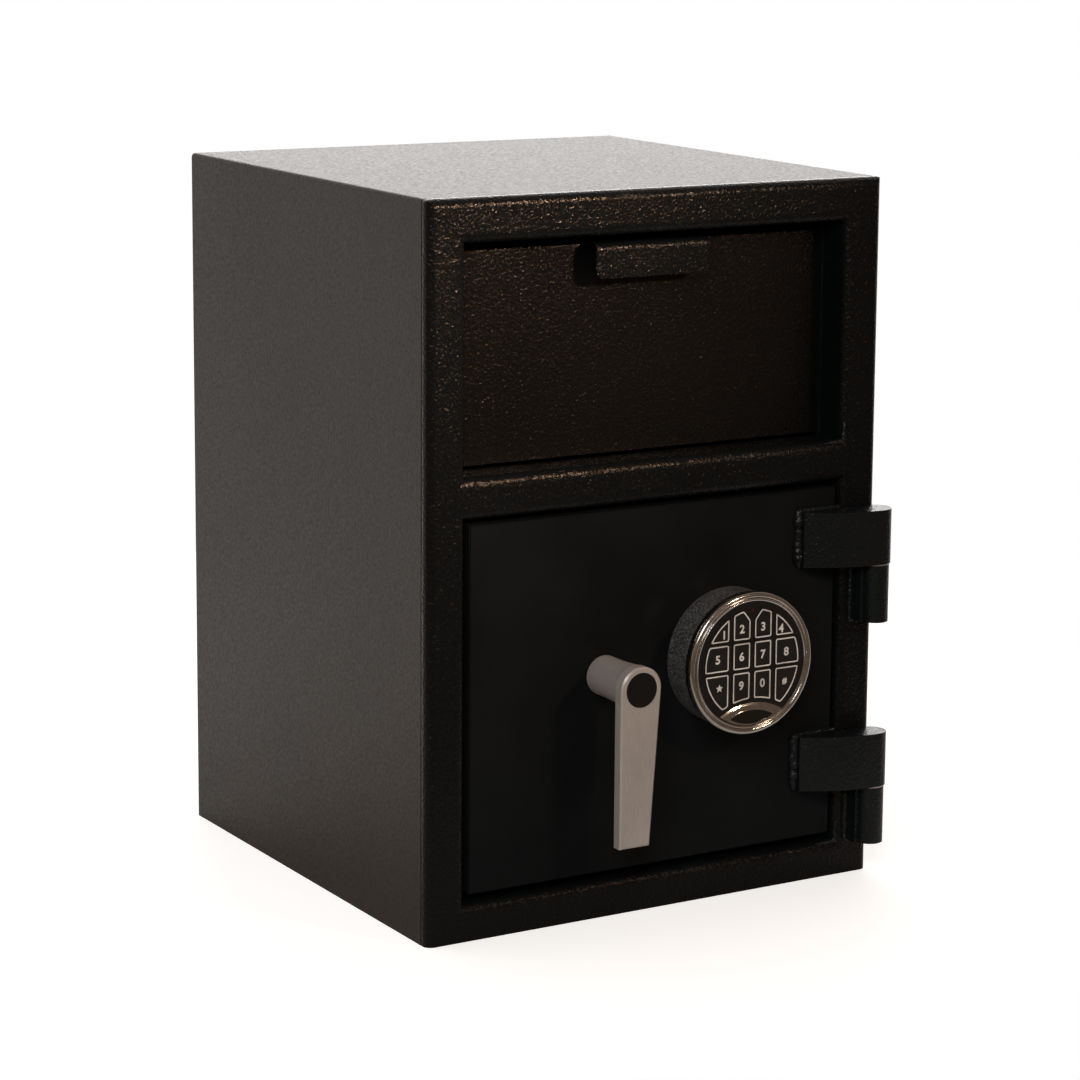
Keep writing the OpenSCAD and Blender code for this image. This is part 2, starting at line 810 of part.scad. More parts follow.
// Outline of one key; grow widens it for its hole in the plate or its flange behind it
module key_shape(col, row, grow) {
    z0 = key_low + (key_h + row_gap) * (1 - row) - grow;
    z1 = row == 0 ? key_circle : z0 + key_h + 2 * grow;
    inner = col == 1 || col == 2;
    x0 = (inner ? key_gap / 2 : key_gap * 1.5 + key_w) - grow;
    x1 = inner ? key_gap / 2 + key_w + grow : key_circle + grow;
    mirror([col < 2 ? 1 : 0, 0]) difference() {
        intersection() {
            translate([x0, row == 2 ? -key_circle : z0])
                square([x1 - x0, row == 2 ? z0 + key_h + 2 * grow + key_circle : z1 - z0]);
            circle(key_circle + grow);
        }
        translate([0, arch_z]) circle(arch_r + arch_margin - grow);
        if (row == 0 && inner) translate([0, light_z]) rotate(light_turn)
            translate([-2 * light_room, grow - light_room]) square(4 * light_room);
    }
}

module keypad_pad() {
    color("#0c0c0c") difference() {
        turned_y(key_x, key_z, pad_y) square([pad_r - fit, pad_t]);
        for (col = [0:3], row = [0:2])
            facing(pad_y - 1, pad_t + 2) translate([key_x, key_z]) key_shape(col, row, key_ease);
        facing(pad_y - 1, 2) translate([key_x, key_z]) trim_shape(ease);
        bar_y(key_x, key_z + light_z, pad_y - 1, 2, light_r + fit);
    }
}

// The lens between the arch over the badge and the foot of the ring
module trim_shape(grow) {
    intersection() {
        circle(pad_r - ease + grow);
        translate([0, arch_z]) circle(arch_r + grow);
    }
}

// The pointed oval of the badge, left bare
module badge_shape(grow) {
    r = (badge_w * badge_w + badge_h * badge_h) / (4 * badge_h);
    translate([0, (arch_z + arch_r - pad_r) / 2 - badge_drop]) intersection_for(s = [-1, 1])
        translate([0, s * (r - badge_h / 2)]) circle(r + grow);
}

// Bright plate round the badge: chamfered along its arch, with a raised rim round the oval
module badge_trim() {
    color("gainsboro") difference() {
        union() {
            intersection() {
                facing(pad_y - trim_out, trim_out + trim_sink) translate([key_x, key_z]) trim_shape(0);
                turned_y(key_x, key_z + arch_z, pad_y - trim_out) polygon([
                    [0, 0], [arch_r - trim_chamfer, 0], [arch_r, trim_chamfer / 2],
                    [arch_r, trim_out + trim_sink], [0, trim_out + trim_sink]]);
            }
            facing(pad_y - trim_out - rim_out, trim_out) translate([key_x, key_z]) badge_shape(rim_w);
        }
        facing(pad_y - trim_out - 1, trim_out + trim_sink + 2) translate([key_x, key_z]) badge_shape(fit);
    }
}

module badge_insert() {
    color("black") facing(pad_y - insert_out, insert_out + trim_sink)
        translate([key_x, key_z]) badge_shape(0);
}

module indicator_light() {
    color("firebrick") bar_y(key_x, key_z + light_z, pad_y - light_out, light_out + 1, light_r);
}

module circuit_board() {
    color("darkgreen") bar_y(key_x, key_z, board_y, board_t, board_r);
}

module battery() {
    color("goldenrod") facing(door_y - base_t - battery_t, battery_t)
        round_rect([key_x - battery_w / 2, key_z + battery_top - battery_h],
                   [key_x + battery_w / 2, key_z + battery_top], 2);
}

module keypad_screws() {
    floor_y = door_y - base_t;
    color("silver") for (s = [-1, 1]) {
        bar_y(key_x + s * keypad_screw_pitch / 2, key_z, floor_y - 2, 2, keypad_screw_r + 2);
        bar_y(key_x + s * keypad_screw_pitch / 2, key_z, floor_y, base_t, keypad_screw_r);
    }
}

// Lead from the circuit board through the door to the lock
module lock_lead() {
    color("gray") bar_y(key_x, key_z, board_y + board_t, door_back + 6 - board_y - board_t, lead_r);
}

// One key: a cap that shows in the plate's hole and a wider flange behind it
module key(col, row) {
    color("#111111") {
        facing(pad_y - key_out, key_out + pad_t + key_flange) translate([key_x, key_z])
            key_shape(col, row, 0);
        facing(pad_y + pad_t, key_flange) translate([key_x, key_z]) key_shape(col, row, 0.8);
    }
}

// Outline of the lever: round at the axis, upright on one side, tapered on the other
module lever_shape(inset) {
    r = lever_r - inset;
    tip_x = lever_tip - lever_r - inset;
    tip_z = -lever_l + inset;
    reach = norm([tip_x, tip_z]);
    touch = atan2(tip_z, tip_x) + acos(r / reach);
    circle(r, $fn = 96);
    polygon([[-r, 0], [-r, tip_z], [tip_x, tip_z], [r * cos(touch), r * sin(touch)], [0, 0]]);
}

module handle_lever() {
    color("#b5aaa0") difference() {
        union() {
            facing(lever_y + lever_edge, lever_t - lever_edge)
                translate([handle_x, handle_z]) lever_shape(0);
            hull() {
                facing(lever_y + lever_edge, 0.02) translate([handle_x, handle_z]) lever_shape(0);
                facing(lever_y, 0.02) translate([handle_x, handle_z]) lever_shape(lever_edge);
            }
            turned_y(handle_x, handle_z, lever_back) polygon([
                [0, -1], [lever_r, -1], [lever_r, 0], [lever_r - 0.8, 5], [hub_r + 0.4, hub_cone],
                [hub_r, hub_straight], [hub_r, hub_y - lever_back - 0.8], [hub_r - 0.8, hub_y - lever_back],
                [0, hub_y - lever_back]]);
        }
        bar_y(handle_x, handle_z, lever_y - 1, cap_t + cap_sink + 1, cap_r + fit);
        bar_y(handle_x, handle_z, lever_y, cap_t + cap_sink + screw_head_t + ease, screw_head_r + ease);
        bar_y(handle_x, handle_z, lever_y, lever_out, screw_r + fit);
        square_hole(socket_end, hub_y - socket_end);
        bar_y(handle_x, handle_z, socket_y, hub_y - socket_y + 1, spindle_r + fit);
    }
}

// A square hole on the spindle's axis
module square_hole(y, l) {
    w = spindle_sq + 2 * fit;
    block([handle_x - w / 2, y, handle_z - w / 2], [handle_x + w / 2, y + l, handle_z + w / 2]);
}

module handle_cap() {
    color("#0d0d0d") bar_y(handle_x, handle_z, lever_y + cap_sink, cap_t, cap_r);
}

module spindle() {
    half = spindle_sq / 2;
    color("silver") difference() {
        union() {
            block([handle_x - half, socket_end + ease, handle_z - half],
                  [handle_x + half, crank_back - ease, handle_z + half]);
            bar_y(handle_x, handle_z, socket_y + ease, crank_y - ease - socket_y, spindle_r);
        }
        bar_y(handle_x, handle_z, socket_end, screw_l + ease, screw_r + fit);
        bar_y(handle_x, handle_z, crank_back - screw_l, screw_l + 1, screw_r + fit);
    }
}

// Crank on the rear end of the spindle, with the pin that moves the carriage
module crank_disc() {
    color("gainsboro") {
        difference() {
            bar_y(handle_x, handle_z, crank_y, crank_t, crank_disc_r);
            square_hole(crank_y - 1, crank_t + 2);
        }
        bar_y(pin_x, pin_z, crank_back, crank_pin_y - crank_back, crank_pin_r);
    }
}

module spindle_screws() {
    head_y = lever_y + cap_t + cap_sink;
    color("dimgray") {
        bar_y(handle_x, handle_z, head_y + ease, screw_head_t, screw_head_r);
        bar_y(handle_x, handle_z, head_y + ease, screw_head_t + 4 + screw_l - ease, screw_r);
        bar_y(handle_x, handle_z, crank_back, screw_head_t, screw_head_r);
        bar_y(handle_x, handle_z, crank_back - screw_l + ease, screw_l, screw_r);
    }
}

// An upright slot with round ends
module slot_z(x, low, high, r) {
    translate([x - r, low]) square([2 * r, high - low]);
    for (z = [low, high]) translate([x, z]) circle(r);
}

// Folded plate that the crank moves: a leg for the bolts, a yoke and the arm that the lock blocks
module bolt_carriage() {
    low = handle_z - bolt_pitch / 2 - leg_margin;
    high = handle_z + bolt_pitch / 2 + leg_margin;
    color("silver") difference() {
        union() {
            facing(carriage_y, carriage_t) {
                translate([leg_x, low]) square([strip_w, high - low]);
                translate([leg_x, yoke_low]) square([yoke_right - leg_x, yoke_top - yoke_low]);
                translate([leg_x, arm_low]) square([yoke_right - leg_x, yoke_low - arm_low + 1]);
                translate([leg_x, arm_low]) square([tab_x + tab_w - leg_x, arm_h]);
                translate([tab_x, arm_low]) square([tab_w, tab_top - arm_low]);
            }
            block([leg_x, carriage_y, low], [leg_x + leg_t, leg_back, high]);
        }
        facing(carriage_y - 1, carriage_t + 2) {
            slot_z(pin_x, pin_low, pin_z, crank_pin_r + slot_play);
            translate([0, stud_z]) rotate(90) slot_z(0, -stud_x - bolt_throw, -stud_x, stud_r + ease);
        }
        for (s = [-1, 1]) {
            bar_x(leg_x - 1, bolt_y, handle_z + s * bolt_pitch / 2, leg_t + 2, bolt_screw_r + fit);
            bar_x(leg_x + leg_t, bolt_y, handle_z + s * bolt_pitch / 2, bolt_screw_head_t + ease,
                  bolt_screw_head_r + ease);
        }
    }
}

module live_bolts() {
    tip = 1.5;
    color("gainsboro") for (s = [-1, 1]) translate([bolt_tip, bolt_y, handle_z + s * bolt_pitch / 2])
        rotate([0, 90, 0]) difference() {
            rotate_extrude()
                polygon([[0, 0], [bolt_r - tip, 0], [bolt_r, tip], [bolt_r, bolt_l], [0, bolt_l]]);
            translate([0, 0, bolt_l - bolt_screw_l - ease])
                cylinder(h = bolt_screw_l + 1, r = bolt_screw_r + fit);
        }
}

module bolt_screws() {
    color("dimgray") for (s = [-1, 1]) {
        bar_x(leg_x + leg_t, bolt_y, handle_z + s * bolt_pitch / 2, bolt_screw_head_t, bolt_screw_head_r);
        bar_x(leg_x - bolt_screw_l, bolt_y, handle_z + s * bolt_pitch / 2, bolt_screw_l + leg_t,
              bolt_screw_r);
    }
}

// Front of the drawer, hemmed back along its top edge
module drawer_panel() {
    top = panel_low + panel_h;
    color("#191715") across(-drawer_w / 2, drawer_w) {
        translate([panel_y, panel_low]) square([panel_t, panel_h - panel_t]);
        translate([panel_y + panel_t, top - panel_t]) square([panel_hem - panel_t, panel_t]);
        intersection() {
            translate([panel_y, top - panel_t]) square(panel_t);
            translate([panel_y + panel_t, top - panel_t]) circle(panel_t);
        }
    }
}

// Bent strip at the top of the panel that the fingers pull
module pull_lip() {
    top = panel_low + panel_h;
    lip_y = panel_y - lip_out;
    color("#191715") intersection() {
        across(-lip_w / 2, lip_w) {
            translate([lip_y + lip_bend, top - lip_t]) square([lip_out - lip_bend, lip_t]);
            translate([lip_y, top - lip_h]) square([lip_t, lip_h - lip_bend]);
            intersection() {
                translate([lip_y, top - lip_bend]) square(lip_bend);
                translate([lip_y + lip_bend, top - lip_bend]) difference() {
                    circle(lip_bend);
                    circle(lip_bend - lip_t);
                }
            }
        }
        facing(lip_y - 1, lip_out + 2)
            round_rect([-lip_w / 2, top - lip_h], [lip_w / 2, top + lip_corner], lip_corner);
    }
}

// Tray behind the panel: a falling floor between two quarter-round sides with the pivot hubs
module hopper_tray() {
    panel_back = panel_y + panel_t;
    color("#2a2a2a") {
        across(-drawer_w / 2, drawer_w) intersection() {
            on_floor() translate([-hem_r, -floor_drop - tray_t]) square([2 * hem_r, tray_t]);
            translate([panel_back, pivot_z - hem_r]) square(2 * hem_r);
            translate([pivot_y, pivot_z]) circle(hem_r);
        }
        difference() {
            union() for (s = [0, 1]) mirror([s, 0, 0]) {
                across(drawer_w / 2 - tray_t, tray_t) intersection() {
                    translate([pivot_y, pivot_z]) circle(sector_r);
                    on_floor() translate([-hem_r, -floor_drop - tray_t]) square(2 * hem_r);
                    translate([panel_back, pivot_z - hem_r]) square([2 * hem_r, 3 * hem_r]);
                    translate([panel_back, pivot_z - hem_r]) square([2 * hem_r, hem_r + sector_r - panel_t]);
                }
                bar_x(drawer_w / 2 - hub_pivot_l, pivot_y, pivot_z, hub_pivot_l, hub_pivot_r);
            }
            bar_x(-drawer_w / 2 - 1, pivot_y, pivot_z, drawer_w + 2, pivot_r + fit);
        }
    }
}

front_frame();
body_shell();
back_plate();
bottom_plate();
bolt_keeper();
chute_side_left();
chute_side_right();
anti_fish_baffle();
drawer_pivot_pins();
drawer_stops();
hinge_leaf_upper();
hinge_leaf_lower();
hinge_pins();
hinge_washers();
door_plate();
hinge_strap_upper();
hinge_strap_lower();
dead_bar();
bolt_guide();
carriage_stud();
spindle_bush();
lock_body();
lock_screws();
boltwork_cover();
cover_screws();
keypad_base();
keypad_ring();
keypad_pad();
badge_trim();
badge_insert();
indicator_light();
circuit_board();
battery();
keypad_screws();
lock_lead();
handle_lever();
handle_cap();
spindle();
crank_disc();
spindle_screws();
bolt_carriage();
live_bolts();
bolt_screws();
lock_bolt();
drawer_panel();
pull_lip();
hopper_tray();
key(0, 0);  // key_1
key(1, 0);  // key_2
key(2, 0);  // key_3
key(3, 0);  // key_4
key(0, 1);  // key_5
key(1, 1);  // key_6
key(2, 1);  // key_7
key(3, 1);  // key_8
key(0, 2);  // key_star
key(1, 2);  // key_9
key(2, 2);  // key_0
key(3, 2);  // key_hash
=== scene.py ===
"""Dresses the drop safe: powder coats, satin door, chrome keypad, printed keys, weld beads, studio."""
import math
import random

import bpy
from bpy.props import FloatProperty, FloatVectorProperty, IntProperty, PointerProperty
from mathutils import Matrix, Vector


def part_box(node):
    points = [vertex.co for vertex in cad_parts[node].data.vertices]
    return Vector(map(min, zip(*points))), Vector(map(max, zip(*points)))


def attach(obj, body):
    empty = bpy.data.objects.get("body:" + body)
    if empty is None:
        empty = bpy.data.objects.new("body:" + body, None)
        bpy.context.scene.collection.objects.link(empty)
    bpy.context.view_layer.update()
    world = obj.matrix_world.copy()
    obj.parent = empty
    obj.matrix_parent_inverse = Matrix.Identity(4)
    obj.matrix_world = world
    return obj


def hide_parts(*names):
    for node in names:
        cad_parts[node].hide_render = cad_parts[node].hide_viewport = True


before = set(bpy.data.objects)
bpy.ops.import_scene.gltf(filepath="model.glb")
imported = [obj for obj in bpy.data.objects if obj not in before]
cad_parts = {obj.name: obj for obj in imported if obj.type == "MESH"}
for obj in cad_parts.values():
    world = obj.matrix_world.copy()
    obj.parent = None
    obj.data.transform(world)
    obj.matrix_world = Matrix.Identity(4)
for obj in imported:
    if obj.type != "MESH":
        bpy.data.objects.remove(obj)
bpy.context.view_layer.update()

bl_info = {
    "name": "Drop safe with deposit drawer",
    "version": (1, 0, 0),
    "blender": (4, 5, 0),
    "location": "3D View > Sidebar > Drop safe",
    "description": "Finishes, key prints, weld beads and studio of a drop safe",
    "category": "Object",
}

MM = 0.001

# Which CAD nodes wear each finish
FRAME_COAT = ["front_frame", "pull_lip"]
HINGE_COAT = ["hinge_leaf_upper", "hinge_leaf_lower", "hinge_strap_upper", "hinge_strap_lower"]
BODY_COAT = ["body_shell", "back_plate", "bottom_plate"]
INNER_COAT = ["bolt_keeper", "chute_side_left", "chute_side_right", "anti_fish_baffle",
              "drawer_stops", "hopper_tray", "boltwork_cover"]
ZINC = ["drawer_pivot_pins", "hinge_pins", "hinge_washers", "dead_bar", "bolt_guide",
        "carriage_stud", "lock_screws", "cover_screws", "keypad_screws", "spindle", "crank_disc",
        "spindle_screws", "bolt_carriage", "bolt_screws"]
BRASS = ["spindle_bush", "lock_bolt"]

# Each key's sign, and where it sits in millimetres from the middle of the key plate
KEY_SIGNS = {
    "key_1": ("1", -23.4, 22.4), "key_2": ("2", -8.7, 25.0), "key_3": ("3", 8.7, 25.0),
    "key_4": ("4", 23.6, 22.0), "key_5": ("5", -28.2, 5.6), "key_6": ("6", -8.7, 5.6),
    "key_7": ("7", 8.7, 5.6), "key_8": ("8", 28.2, 5.2), "key_star": ("*", -26.6, -14.4),
    "key_9": ("9", -8.7, -14.8), "key_0": ("0", 8.7, -14.8), "key_hash": ("#", 27.2, -15.4),
}

# A key's printed line lies LINE_INSET inside the edge of its front. A face is part of that front when
# the Y of its normal is at most FRONT_FACING and it lies within FRONT_DEPTH of the foremost point.
LINE_INSET = 0.15 * MM
FRONT_FACING = -0.9
FRONT_DEPTH = 0.05 * MM

# The printed signs: the hash's size against the digits', how much each stroke is thickened, the star's
# radius against the type size, and the share of that radius that its inner points keep
HASH_SIZE = 0.72
SIGN_WEIGHT = 0.22 * MM
STAR_REACH = 0.36
STAR_WAIST = 0.46

# A strap's bead runs this far along its upper and its lower edge. A leaf's bead starts this far under
# the leaf's upper edge, and runs this far along its lower one.
STRAP_BEAD_TOP = 34 * MM
STRAP_BEAD_LOW = 20 * MM
LEAF_BEAD_START = 3 * MM
LEAF_BEAD_FOOT = 8 * MM

# The corner welds stand this far outside the drawer panel's right edge, and this far below a node's
# lower edge. One arm runs along the opening's floor and the other up its side, both a little aslant
# and behind the frame's face.
CORNER_OUT = 2.8 * MM
CORNER_WELDS = {"deposit": ("drawer_panel", 3.5 * MM), "door": ("door_plate", 7.5 * MM)}
CORNER_ARM = 16 * MM
CORNER_RISE = 14 * MM
CORNER_SINK = 2 * MM
CORNER_LEAN = 0.5 * MM

# How a bead's drops vary in radius, and then in each of their three sizes
DROP_RADIUS = (0.8, 1.14)
DROP_STRETCH = (0.88, 1.1)

# Pan heads of the boltwork cover: their size, their cross recess and its turn in degrees. A head's
# middle lies HEAD_INSET inside the box of the CAD screws.
HEAD_RADIUS = 3.9 * MM
HEAD_DEPTH = 1.5 * MM
HEAD_ROUNDING = 0.9 * MM
RECESS_SIZE = (4.2 * MM, 1.4 * MM, 0.9 * MM)
RECESS_TURN = 20
HEAD_INSET = 4.0 * MM

# Colours of the small parts
BOLT_STEEL = (0.66, 0.66, 0.68)
CAST_CASE = (0.46, 0.46, 0.47)
HOUSING_DARK = (0.018, 0.018, 0.0185)
HOUSING_SPECK = (0.23, 0.23, 0.235)
KEY_PLATE = (0.006, 0.0055, 0.0055)
KEY_RUBBER = (0.007, 0.0065, 0.0065)
BADGE_ENAMEL = (0.004, 0.004, 0.004)
CAP_PLASTIC = (0.005, 0.0045, 0.0042)
LIGHT_LENS = (0.05, 0.005, 0.005)
BOARD_GREEN = (0.01, 0.11, 0.035)
BATTERY_WRAP = (0.42, 0.24, 0.05)
LEAD_SLEEVE = (0.16, 0.16, 0.16)

# The two narrow warm lamps stand at the front right, higher than the safe; their spread is in degrees
WARM_PLACE = (0.62, -1.6, 1.0)
WARM_SIDE = 0.12
WARM_SPREAD = 24
WARM_COLOR = (1, 0.76, 0.55)

# The floor's middle, and where a gloss starts to see the floor's glow and where it sees it whole
FLOOR_Y = 0.3
SWEEP_START = 0.05
SWEEP_END = 0.5

# The Y of a direction up to which the room is dark, from which it is bright, and past which a gloss or
# glass sees white
DARK_UNTIL = -0.30
BRIGHT_FROM = 0.55
BACKDROP_FROM = 0.6

# Millimetres, as the lens is
SENSOR_WIDTH = 36


class SafeCoatSettings(bpy.types.PropertyGroup):
    """The wrinkled powder coat of the cabinet and the smooth paint of the door."""

    # The hinges and weld beads wear this colour made 1.5 times lighter. That is painted light: a lit
    # copy of the same coat, standing in for brighter light on them.
    frame_color: FloatVectorProperty(
        name="Front colour", description="Powder coat of the front frame, pull lip and hinges",
        subtype="COLOR", size=3, min=0, max=1, default=(0.0032, 0.0043, 0.0050))
    drawer_color: FloatVectorProperty(
        name="Drawer colour", description="Powder coat of the drawer's panel",
        subtype="COLOR", size=3, min=0, max=1, default=(0.0039, 0.0040, 0.0041))
    sheen_color: FloatVectorProperty(
        name="Sheen colour", description="Tint of the gloss on the front frame and the drawer",
        subtype="COLOR", size=3, min=0, max=1, default=(1.0, 0.8, 0.68))
    body_color: FloatVectorProperty(
        name="Side colour", description="Powder coat of the roof, sides, floor and back",
        subtype="COLOR", size=3, min=0, max=1, default=(0.021, 0.0145, 0.0095))
    door_color: FloatVectorProperty(
        name="Door colour", description="Smooth satin paint of the door",
        subtype="COLOR", size=3, min=0, max=1, default=(0.0064, 0.0071, 0.0077))
    inner_color: FloatVectorProperty(
        name="Inside colour", description="Paint of the chute, tray and boltwork cover",
        subtype="COLOR", size=3, min=0, max=1, default=(0.007, 0.007, 0.0072))
    wrinkle: FloatProperty(
        name="Wrinkle size", description="Distance between the grains of the powder coat",
        unit="LENGTH", min=0.0002, max=0.006, default=0.0022)
    relief: FloatProperty(
        name="Wrinkle height", description="Height of the grains of the powder coat",
        unit="LENGTH", min=0, max=0.001, default=0.0007)


class SafeMetalSettings(bpy.types.PropertyGroup):
    """The bare and plated metals."""

    lever_color: FloatVectorProperty(
        name="Lever colour", description="Satin nickel of the lever and its hub",
        subtype="COLOR", size=3, min=0, max=1, default=(0.415, 0.38, 0.36))
    chrome_color: FloatVectorProperty(
        name="Chrome colour", description="Polished ring of the keypad",
        subtype="COLOR", size=3, min=0, max=1, default=(0.47, 0.44, 0.415))
    zinc_color: FloatVectorProperty(
        name="Zinc colour", description="Plated pins, screws and boltwork",
        subtype="COLOR", size=3, min=0, max=1, default=(0.55, 0.56, 0.58))
    brass_color: FloatVectorProperty(
        name="Brass colour", description="Spindle bush and lock bolt",
        subtype="COLOR", size=3, min=0, max=1, default=(0.66, 0.47, 0.20))


class SafeKeypadSettings(bpy.types.PropertyGroup):
    """The printed signs and outlines of the keys."""

    print_color: FloatVectorProperty(
        name="Print colour", description="Colour of the outlines and signs on the keys",
        subtype="COLOR", size=3, min=0, max=1, default=(0.62, 0.60, 0.57))
    line_width: FloatProperty(
        name="Line width", description="Width of the line round each key",
        unit="LENGTH", min=0.0002, max=0.002, default=0.0009)
    corner: FloatProperty(
        name="Line corner", description="Radius of the line's corners",
        unit="LENGTH", min=0, max=0.003, default=0.0016)
    sign_size: FloatProperty(
        name="Sign size", description="Type size of the signs on the keys",
        unit="LENGTH", min=0.003, max=0.012, default=0.0082)
    print_lift: FloatProperty(
        name="Print thickness", description="How far the print stands out of the key",
        unit="LENGTH", min=0.00001, max=0.0003, default=0.00006)


class SafeWeldSettings(bpy.types.PropertyGroup):
    """The painted weld beads that hold the hinges and the frame's corners."""

    bead_radius: FloatProperty(
        name="Bead radius", description="Half the width of a weld bead",
        unit="LENGTH", min=0.0005, max=0.006, default=0.0026)
    end_radius: FloatProperty(
        name="End bead radius", description="Half the width of the bead across a strap's free end",
        unit="LENGTH", min=0.0005, max=0.008, default=0.0044)
    ripple: FloatProperty(
        name="Ripple", description="Distance between two ripples of a bead",
        unit="LENGTH", min=0.0005, max=0.005, default=0.0015)
    seed: IntProperty(name="Seed", description="Picks the unevenness of the beads", min=0, default=7)


class SafeStudioSettings(bpy.types.PropertyGroup):
    """The floor, the lamps and the camera."""

    azimuth: FloatProperty(
        name="Azimuth", description="Turn of the camera about the upright axis",
        subtype="ANGLE", default=math.radians(-32.158))
    elevation: FloatProperty(
        name="Elevation", description="Tilt of the camera over the horizon",
        subtype="ANGLE", default=math.radians(9.91))
    roll: FloatProperty(
        name="Roll", description="Turn of the camera about its own axis",
        subtype="ANGLE", default=math.radians(0.70))
    eye: FloatVectorProperty(
        name="Eye", description="Place of the camera",
        subtype="XYZ", unit="LENGTH", size=3, default=(-1.2064, -2.069, 0.7283))
    lens: FloatProperty(
        name="Lens", description="Focal length in millimetres on a 36 mm sensor",
        min=10, default=112.17)
    shift: FloatVectorProperty(
        name="Shift", description="Shift of the picture off the camera's axis, in picture widths",
        size=2, default=(-0.0911, -0.1033))
    floor_size: FloatProperty(
        name="Floor size", description="Side of the pale floor", unit="LENGTH", default=1.5)
    floor_color: FloatVectorProperty(
        name="Floor colour", description="Colour of the pale floor",
        subtype="COLOR", size=3, min=0, max=1, default=(0.8, 0.8, 0.8))
    floor_glow: FloatProperty(
        name="Floor glow", description="How far the floor melts into the white backdrop",
        min=0, default=0.58)
    room_front: FloatVectorProperty(
        name="Room in front", description="Light of the room in front of the safe",
        subtype="COLOR", size=3, min=0, max=1, default=(0.16, 0.115, 0.085))
    room_behind: FloatVectorProperty(
        name="Room behind", description="Light of the room behind the safe",
        subtype="COLOR", size=3, min=0, max=1, default=(1.0, 0.955, 0.92))
    front_watts: FloatProperty(
        name="Front lamp", description="Power of the soft lamp at the front left",
        min=0, default=26)
    rear_watts: FloatProperty(
        name="Rear lamp", description="Power of the soft lamp behind the safe",
        min=0, default=24.5)
    sheen_watts: FloatProperty(
        name="Sheen lamp", description="Power of the narrow warm lamp on the drawer",
        min=0, default=0.65)
    glint_watts: FloatProperty(
        name="Glint lamp", description="Power of the narrow warm lamp on the door",
        min=0, default=0.09)


def new_material(name, color, roughness, metallic=0.0, specular=0.5):
    """A Principled material with its constants set on the shader's own sockets."""
    material = bpy.data.materials.new(name)
    material.use_nodes = True
    shader = material.node_tree.nodes["Principled BSDF"]
    shader.inputs["Base Color"].default_value = (*color, 1)
    shader.inputs["Roughness"].default_value = roughness
    shader.inputs["Metallic"].default_value = metallic
    shader.inputs["Specular IOR Level"].default_value = specular
    material.diffuse_color = (*color, 1)
    return material


def add_noise(material, size, detail=2.0, stretch=(1, 1, 1), distortion=0.0):
    """Noise on Object coordinates whose blobs measure about size metres; stretch lengthens them."""
    tree = material.node_tree
    place = tree.nodes.new("ShaderNodeTexCoord")
    mapping = tree.nodes.new("ShaderNodeMapping")
    mapping.inputs["Scale"].default_value = [1 / s for s in stretch]
    noise = tree.nodes.new("ShaderNodeTexNoise")
    noise.inputs["Scale"].default_value = 1 / size
    noise.inputs["Detail"].default_value = detail
    noise.inputs["Distortion"].default_value = distortion
    tree.links.new(place.outputs["Object"], mapping.inputs["Vector"])
    tree.links.new(mapping.outputs["Vector"], noise.inputs["Vector"])
    return noise.outputs["Fac"]


def add_cells(material, size):
    """Cell pattern on Object coordinates with cells about size metres across."""
    tree = material.node_tree
    place = tree.nodes.new("ShaderNodeTexCoord")
    cells = tree.nodes.new("ShaderNodeTexVoronoi")
    cells.inputs["Scale"].default_value = 1 / size
    tree.links.new(place.outputs["Object"], cells.inputs["Vector"])
    return cells.outputs["Distance"]


def map_value(material, value, low, high, from_low=0.3, from_high=0.7):
    """The value stretched from one span to another, held at the ends."""
    node = material.node_tree.nodes.new("ShaderNodeMapRange")
    node.inputs["From Min"].default_value = from_low
    node.inputs["From Max"].default_value = from_high
    node.inputs["To Min"].default_value = low
    node.inputs["To Max"].default_value = high
    material.node_tree.links.new(value, node.inputs["Value"])
    return node.outputs["Result"]


def blend_values(material, first, second, share):
    """Two values mixed; share is how much of the second there is."""
    node = material.node_tree.nodes.new("ShaderNodeMix")
    node.inputs[0].default_value = share
    material.node_tree.links.new(first, node.inputs[2])
    material.node_tree.links.new(second, node.inputs[3])
    return node.outputs[0]


def color_from(material, value, colors, stops=(0.35, 0.65)):
    """Drives the base colour through a ramp."""
    tree = material.node_tree
    ramp = tree.nodes.new("ShaderNodeValToRGB")
    for element, stop, color in zip(ramp.color_ramp.elements, stops, colors):
        element.position = stop
        element.color = (*color, 1)
    tree.links.new(value, ramp.inputs["Fac"])
    tree.links.new(ramp.outputs["Color"], tree.nodes["Principled BSDF"].inputs["Base Color"])


def roughness_from(material, value, low, high):
    """Drives the roughness by a value."""
    tree = material.node_tree
    spread = map_value(material, value, low, high)
    tree.links.new(spread, tree.nodes["Principled BSDF"].inputs["Roughness"])


def relief_from(material, value, height):
    """Drives the bump by a value; height is its relief in metres."""
    tree = material.node_tree
    bump = tree.nodes.new("ShaderNodeBump")
    bump.inputs["Distance"].default_value = height
    tree.links.new(value, bump.inputs["Height"])
    tree.links.new(bump.outputs["Normal"], tree.nodes["Principled BSDF"].inputs["Normal"])


def shade_of(color, factor):
    """A colour made darker or lighter."""
    return tuple(min(1.0, c * factor) for c in color)


def wear(nodes, material):
    """Puts one material on CAD nodes, over whatever they were packed with."""
    for name in nodes:
        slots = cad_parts[name].material_slots
        if not slots:
            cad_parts[name].data.materials.append(material)
        for each in slots:
            each.material = material


